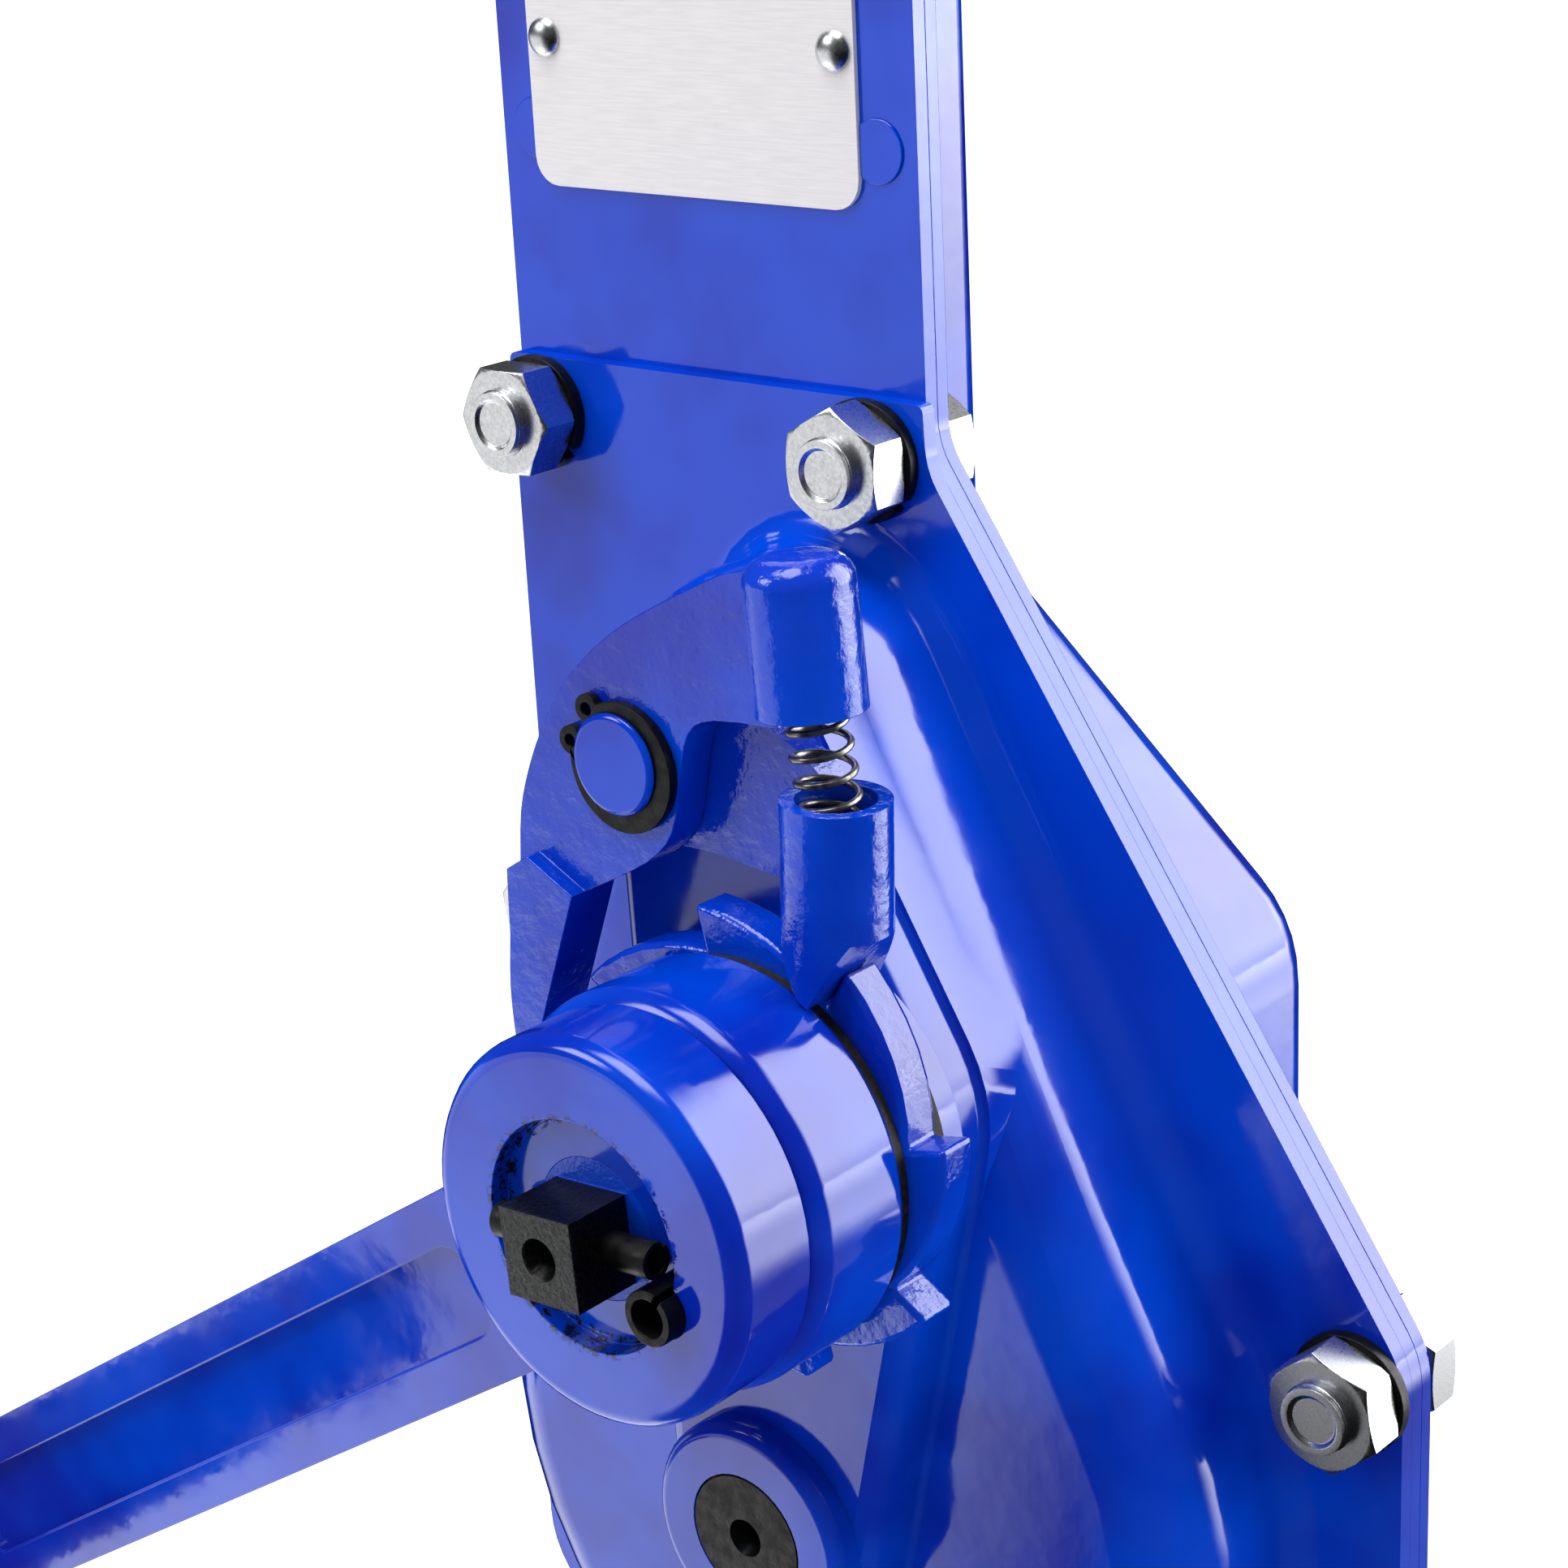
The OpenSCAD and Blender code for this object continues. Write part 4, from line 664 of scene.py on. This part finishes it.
class JACK_OT_grip(bpy.types.Operator):
    """Makes the crank's moulded grip with its ribs"""

    bl_idname = "jack.grip"
    bl_label = "Grip"

    def execute(self, context):
        refined("grip_moulded", "crank_grip", "grip", 0.8 * MM, 3, 30)
        tree, given = geometry_tree("grip ribs", [
            ("Count", "NodeSocketInt"), ("Radius", "NodeSocketFloat"), ("Height", "NodeSocketFloat"),
            ("Span", "NodeSocketFloat"), ("Finish", "NodeSocketMaterial")])
        step = add(tree, "ShaderNodeMath", {"operation": "DIVIDE"},
                   {0: given["Span"], 1: given["Count"]}).outputs[0]
        along = add(tree, "ShaderNodeCombineXYZ", links={"Y": step}).outputs["Vector"]
        line = add(tree, "GeometryNodeMeshLine", {"mode": "OFFSET"},
                   {"Count": given["Count"], "Offset": along}).outputs["Mesh"]
        places = add(tree, "GeometryNodeJoinGeometry", links={"Geometry": line}).outputs["Geometry"]
        start = add(tree, "GeometryNodeInputPosition").outputs["Position"]
        origin = add(tree, "GeometryNodeSampleIndex", {"data_type": "FLOAT_VECTOR"}, {
            "Geometry": given["Geometry"], "Value": start, "Index": 0}).outputs["Value"]
        moved = add(tree, "GeometryNodeTransform",
                    links={"Geometry": places, "Translation": origin}).outputs["Geometry"]
        ring = add(tree, "GeometryNodeCurvePrimitiveCircle",
                   links={"Resolution": 64, "Radius": given["Radius"]}).outputs["Curve"]
        section = add(tree, "GeometryNodeCurvePrimitiveCircle",
                      links={"Resolution": 10, "Radius": given["Height"]}).outputs["Curve"]
        rib = add(tree, "GeometryNodeCurveToMesh",
                  links={"Curve": ring, "Profile Curve": section}).outputs["Mesh"]
        stood = add(tree, "GeometryNodeInstanceOnPoints", links={
            "Points": moved, "Instance": rib, "Rotation": (math.radians(90), 0, 0)}).outputs["Instances"]
        real = add(tree, "GeometryNodeRealizeInstances", links={"Geometry": stood}).outputs["Geometry"]
        done = add(tree, "GeometryNodeSetMaterial",
                   links={"Geometry": real, "Material": given["Finish"]}).outputs[0]
        add(tree, "NodeGroupOutput", links={"Geometry": done})
        low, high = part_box("crank_grip")
        length, radius = high[1] - low[1], (high[0] - low[0]) / 2
        ribs = points_piece("grip_ribs", [(GRIP.x, low[1] + 0.3 * length, GRIP.z)], finish_for("grip"))
        run_tree(ribs, tree, {
            "Count": sizes().grip_ribs, "Radius": 0.9 * radius, "Height": sizes().rib_height,
            "Span": 0.42 * length, "Finish": finish_for("grip")})
        ribs.data.shade_smooth()
        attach(ribs, BODY["crank_grip"])
        return {"FINISHED"}


class JACK_OT_pawls(bpy.types.Operator):
    """Makes the push pawl and the hook pawl on their pin, with the retaining ring"""

    bl_idname = "jack.pawls"
    bl_label = "Pawls"

    def execute(self, context):
        edge = sizes().casting_edge
        refined("pawl_push_cast", "push_pawl", "cast_enamel", edge, 3)
        refined("pawl_hook_cast", "hook_pawl", "cast_enamel", edge, 3)
        refined("pin_painted", "pawl_pin", "enamel", 0.6 * MM, 3)
        refined("ring_blackened", "pawl_circlip", "black", 0.15 * MM)
        return {"FINISHED"}


class JACK_OT_spring(bpy.types.Operator):
    """Makes the pawl spring from the same wound line as its solid, with a round wire"""

    bl_idname = "jack.spring"
    bl_label = "Pawl Spring"

    def execute(self, context):
        tree, given = geometry_tree("wound wire", [
            ("Radius", "NodeSocketFloat"), ("Sides", "NodeSocketInt"), ("Finish", "NodeSocketMaterial")])
        line = add(tree, "GeometryNodeMeshToCurve", links={"Mesh": given["Geometry"]}).outputs["Curve"]
        section = add(tree, "GeometryNodeCurvePrimitiveCircle", links={
            "Resolution": given["Sides"], "Radius": given["Radius"]}).outputs["Curve"]
        wire = add(tree, "GeometryNodeCurveToMesh", links={
            "Curve": line, "Profile Curve": section, "Fill Caps": True}).outputs["Mesh"]
        real = add(tree, "GeometryNodeRealizeInstances", links={"Geometry": wire}).outputs["Geometry"]
        done = add(tree, "GeometryNodeSetMaterial",
                   links={"Geometry": real, "Material": given["Finish"]}).outputs[0]
        add(tree, "NodeGroupOutput", links={"Geometry": done})
        places = self.wound_line()
        mesh = bpy.data.meshes.new("spring_wound")
        mesh.from_pydata(places, [(i, i + 1) for i in range(len(places) - 1)], [])
        piece = placed("spring_wound", mesh, finish_for("wire"))
        run_tree(piece, tree, {
            "Radius": sizes().wire_d / 2, "Sides": sizes().wire_sides, "Finish": finish_for("wire")})
        piece.data.shade_smooth()
        stands_for(piece, "pawl_spring")
        self.follow_cap(piece, *self.seats())
        return {"FINISHED"}

    def follow_cap(self, piece, foot, head):
        """At the pawls' limit the cap swings towards the cup; this works out that travel and gives the piece
        its own mesh, but the spring's top is not moved.
        """
        joints = RECORD["behaviour"]["joints"]
        limits = {joint["name"]: joint["range_deg"] for joint in joints if "range_deg" in joint}
        swing = math.radians(limits["hook_pawl_lift"][1] - limits["push_pawl_lift"][0])
        travel = Matrix.Rotation(swing, 3, "Y") @ (head - PAWL_PIN) - (head - PAWL_PIN)
        travel.y = 0
        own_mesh(piece)

    def seats(self):
        """Where the spring stands in the push pawl's cup and ends in the hook pawl's cap."""
        rise, depth = PAWL_PIN.z - CRANK.z, middle("ratchet_wheel").y
        foot = Vector((PAWL_PIN.x + CUP_SEAT[0] * rise, depth, PAWL_PIN.z + CUP_SEAT[1] * rise))
        head = Vector((PAWL_PIN.x + CAP_SEAT[0] * rise, depth, PAWL_PIN.z + CAP_SEAT[1] * rise))
        return foot, head

    def wound_line(self):
        """Middle of the wire, by the solid's own rule: curls on an axis that bends from cup to cap."""
        foot, head = self.seats()
        foot_lean, head_lean = math.radians(CUP_LEAN), math.radians(CAP_LEAN)
        reach, wire = (head - foot).length, sizes().wire_d
        steps = round(RINGS_PER_CURL * sizes().spring_curls)
        foot_pull = foot + reach / 3 * Vector((math.sin(foot_lean), 0, math.cos(foot_lean)))
        head_pull = head - reach / 3 * Vector((math.sin(head_lean), 0, math.cos(head_lean)))
        curls = math.tau * sizes().spring_curls
        bend = wire / sizes().coil_r
        corners = [(bend * (1 - math.cos(a)),
                    wire * (1 + math.sin(a))) for a in (0, math.pi / 6, math.pi / 3)]
        track = [(0, 0)] + corners
        track += [(bend + curls * i / steps,
                   2 * wire + (reach - 4 * wire) * i / steps) for i in range(steps + 1)]
        track += [(curls + 2 * bend - turn, reach - height) for turn, height in reversed(corners)]
        track += [(curls + 2 * bend, reach)]
        places = []
        for turn, height in track:
            t = height / reach
            lean = foot_lean + (head_lean - foot_lean) * t
            axis = ((1 - t) ** 3 * foot + 3 * (1 - t) ** 2 * t * foot_pull
                    + 3 * (1 - t) * t * t * head_pull + t ** 3 * head)
            out = Vector((math.cos(turn) * math.cos(lean), math.sin(turn), -math.cos(turn) * math.sin(lean)))
            places.append(axis + sizes().coil_r * out)
        return places


class JACK_OT_rack_and_foot(bpy.types.Operator):
    """Makes the milled rack and the foot that it stands on"""

    bl_idname = "jack.rack_and_foot"
    bl_label = "Rack and Foot"

    def execute(self, context):
        refined("rack_milled", "rack", "steel", 0.4 * MM)
        refined("foot_forged", "foot_plate", "cast_enamel", sizes().casting_edge)
        refined("socket_forged", "foot_socket", "cast_enamel", sizes().casting_edge)
        refined("foot_pins_plated", "foot_pins", "zinc", sizes().fine_edge)
        return {"FINISHED"}


class JACK_OT_load_faces(bpy.types.Operator):
    """Makes the claw, the head with its block and ring, and the carrying handle"""

    bl_idname = "jack.load_faces"
    bl_label = "Claw, Head and Handle"

    def execute(self, context):
        edge = sizes().casting_edge
        refined("claw_forged", "claw", "cast_enamel", 1.5 * edge, 3)
        refined("block_welded", "head_block", "enamel", edge)
        refined("head_forged", "swivel_head", "cast_enamel", 1.3 * edge, 3)
        refined("head_ring", "head_circlip", "black", 0.15 * MM)
        refined("handle_bent", "carry_handle", "enamel", 0.0, angle=50)
        return {"FINISHED"}


class JACK_OT_stage(bpy.types.Operator):
    """Makes the pale floor, the soft lamps, the white surround and the camera"""

    bl_idname = "jack.stage"
    bl_label = "Stage"

    def execute(self, context):
        self.floor()
        self.surround(context.scene)
        aim = (CRANK.x, 0, CRANK.z)
        self.lamp("softbox_top", (-0.15, -0.35, 1.75), aim, (1.2, 1.2), 34)
        self.lamp("softbox_left", (-1.0, -1.2, 1.3), aim, (0.9, 0.9), 20)
        self.lamp("fill_right", (0.9, 0.5, 0.8), aim, (0.8, 0.8), 11, glossy=False)
        self.lamp("panel_behind_right", (0.77, 0.92, 0.9), (0.03, 0, 0.5), (1.7, 1.9), 88, diffuse=False)
        self.camera(context.scene)
        return {"FINISHED"}

    def floor(self):
        half = 12.0
        mesh = bpy.data.meshes.new("studio_floor")
        mesh.from_pydata([(-half, -half, 0), (half, -half, 0), (half, half, 0), (-half, half, 0)], [],
                         [(0, 1, 2, 3)])
        material, tree, shader, where = new_material("matt_studio_floor")
        rays = add(tree, "ShaderNodeLightPath").outputs
        pale = put(tree, "blend", put(tree, "between", put(tree, "noise", where, 900, 2), 0.3, 0.7),
                            linear(colours().floor), linear("#eeeeee"))
        tree.links.new(put(tree, "blend", rays["Is Glossy Ray"], pale, linear("#141414")),
                       shader.inputs["Base Color"])
        shader.inputs["Roughness"].default_value = 0.9
        shader.inputs["Specular IOR Level"].default_value = 0.0
        distance = add(tree, "ShaderNodeVectorMath", {"operation": "LENGTH"}, {0: where}).outputs["Value"]
        heading = add(tree, "ShaderNodeVectorMath", {"operation": "NORMALIZE"}, {0: where}).outputs[0]
        side = add(tree, "ShaderNodeSeparateXYZ", links={"Vector": heading}).outputs
        # the camera sees a pale floor; reflections see the two bright patches that the photograph mirrors
        camera_view = put(tree, "times", rays["Is Camera Ray"],
                          put(tree, "between", distance, 0.5, 2.5, 0.5, 0.9))
        front_left = put(tree, "times", put(tree, "between", side["X"], -0.3, -0.55),
                         put(tree, "between", side["Y"], 0.1, -0.2))
        front_left = put(tree, "times", front_left, put(tree, "between", distance, 0.45, 1.0, 2.2, 1.1))
        behind_right = put(tree, "times", put(tree, "between", side["X"], 0.3, 0.55),
                           put(tree, "between", side["Y"], 0.3, 0.55))
        behind_right = put(tree, "times", behind_right, put(tree, "between", distance, 0.5, 0.9, 0.3, 5.6))
        patches = add(tree, "ShaderNodeMath", {"operation": "ADD"},
                      {0: front_left, 1: behind_right}).outputs[0]
        mirrored = put(tree, "times", rays["Is Glossy Ray"], patches)
        tree.links.new(add(tree, "ShaderNodeMath", {"operation": "ADD"},
                           {0: camera_view, 1: mirrored}).outputs[0],
                       shader.inputs["Emission Strength"])
        shader.inputs["Emission Color"].default_value = (1, 1, 1, 1)
        placed("studio_floor", mesh, material)

    def surround(self, scene):
        world = bpy.data.worlds.new("white_surround")
        scene.world = world
        world.use_nodes = True
        tree = world.node_tree
        tree.nodes.clear()
        rays = add(tree, "ShaderNodeLightPath").outputs
        seen = add(tree, "ShaderNodeMath", {"operation": "MAXIMUM"}, {
            0: rays["Is Camera Ray"], 1: rays["Is Transmission Ray"]}).outputs[0]
        dim = add(tree, "ShaderNodeMath", {"operation": "SUBTRACT"}, {
            0: 0.45, 1: put(tree, "times", rays["Is Glossy Ray"], 0.41)}).outputs[0]
        plain = add(tree, "ShaderNodeBackground", links={"Color": (1, 1, 1, 1), "Strength": dim}).outputs[0]
        white = add(tree, "ShaderNodeBackground", links={"Color": (1, 1, 1, 1), "Strength": 1.0}).outputs[0]
        mixed = add(tree, "ShaderNodeMixShader", links={0: seen, 1: plain, 2: white}).outputs[0]
        add(tree, "ShaderNodeOutputWorld", links={"Surface": mixed})

    def lamp(self, name, place, aim, size, power, diffuse=True, glossy=True):
        """A softbox, bright in its middle and soft at its edges."""
        data = bpy.data.lights.new(name, "AREA")
        data.shape, data.energy = "RECTANGLE", power
        data.size, data.size_y = size
        data.use_nodes = True
        tree = data.node_tree
        tree.nodes.clear()
        spot = add(tree, "ShaderNodeNewGeometry").outputs["Parametric"]
        centred = add(tree, "ShaderNodeVectorMath", {"operation": "SUBTRACT"},
                      {0: spot, 1: (0.5, 0.5, 0.0)}).outputs[0]
        away = add(tree, "ShaderNodeVectorMath", {"operation": "ABSOLUTE"}, {0: centred}).outputs[0]
        sides = add(tree, "ShaderNodeSeparateXYZ", links={"Vector": away}).outputs
        soft = put(tree, "times", put(tree, "between", sides["X"], 0.5, 0.22),
                   put(tree, "between", sides["Y"], 0.5, 0.22))
        shine = add(tree, "ShaderNodeEmission", links={"Strength": soft}).outputs[0]
        add(tree, "ShaderNodeOutputLight", links={"Surface": shine})
        made = bpy.data.objects.new(name, data)
        bpy.context.scene.collection.objects.link(made)
        made.location = place
        made.rotation_euler = (Vector(aim) - Vector(place)).to_track_quat("-Z", "Y").to_euler()
        made.visible_diffuse, made.visible_glossy = diffuse, glossy

    def camera(self, scene):
        """Solved from the photograph: place, direction, roll and focal length."""
        azimuth, elevation, roll = (math.radians(a) for a in (41.4, 19.03, -2.89))
        back = Vector((math.sin(azimuth) * math.cos(elevation), -math.cos(azimuth) * math.cos(elevation),
                       math.sin(elevation)))
        right = Vector((math.cos(azimuth), math.sin(azimuth), 0))
        up = back.cross(right)
        side = right * math.cos(roll) + up * math.sin(roll)
        top = up * math.cos(roll) - right * math.sin(roll)
        data = bpy.data.cameras.new("photo_camera")
        data.sensor_width, data.lens = 36.0, 74.85
        data.clip_start, data.clip_end = 0.01, 100.0
        made = bpy.data.objects.new("photo_camera", data)
        scene.collection.objects.link(made)
        made.matrix_world = Matrix.Translation((0.3205, -0.3704,
                                                0.4915)) @ Matrix((side, top, back)).transposed().to_4x4()
        scene.camera = made
        scene.view_settings.view_transform = "Standard"


OPERATORS = (
    JACK_OT_casing, JACK_OT_fasteners, JACK_OT_nameplate, JACK_OT_drive, JACK_OT_brake, JACK_OT_crank,
    JACK_OT_grip, JACK_OT_pawls, JACK_OT_spring, JACK_OT_rack_and_foot, JACK_OT_load_faces, JACK_OT_stage)


class JACK_PT_panel(bpy.types.Panel):
    """Lists the jack's pieces, sizes and colours."""

    bl_label = "Rack Jack"
    bl_idname = "JACK_PT_panel"
    bl_space_type = "VIEW_3D"
    bl_region_type = "UI"
    bl_category = "Rack Jack"

    def draw(self, context):
        column = self.layout.column(align=True)
        for operator in OPERATORS:
            column.operator(operator.bl_idname)
        for group in (context.scene.jack_sizes, context.scene.jack_colours):
            column = self.layout.column(align=True)
            for name in type(group).__annotations__:
                column.prop(group, name)


CLASSES = (JackSizes, JackColours, *OPERATORS, JACK_PT_panel)


def register():
    for cls in CLASSES:
        bpy.utils.register_class(cls)
    bpy.types.Scene.jack_sizes = PointerProperty(type=JackSizes)
    bpy.types.Scene.jack_colours = PointerProperty(type=JackColours)


def unregister():
    del bpy.types.Scene.jack_sizes
    del bpy.types.Scene.jack_colours
    for cls in reversed(CLASSES):
        bpy.utils.unregister_class(cls)


def main():
    register()
    for operator in OPERATORS:
        family, name = operator.bl_idname.split(".")
        getattr(getattr(bpy.ops, family), name)()


if __name__ == "__main__":
    main()
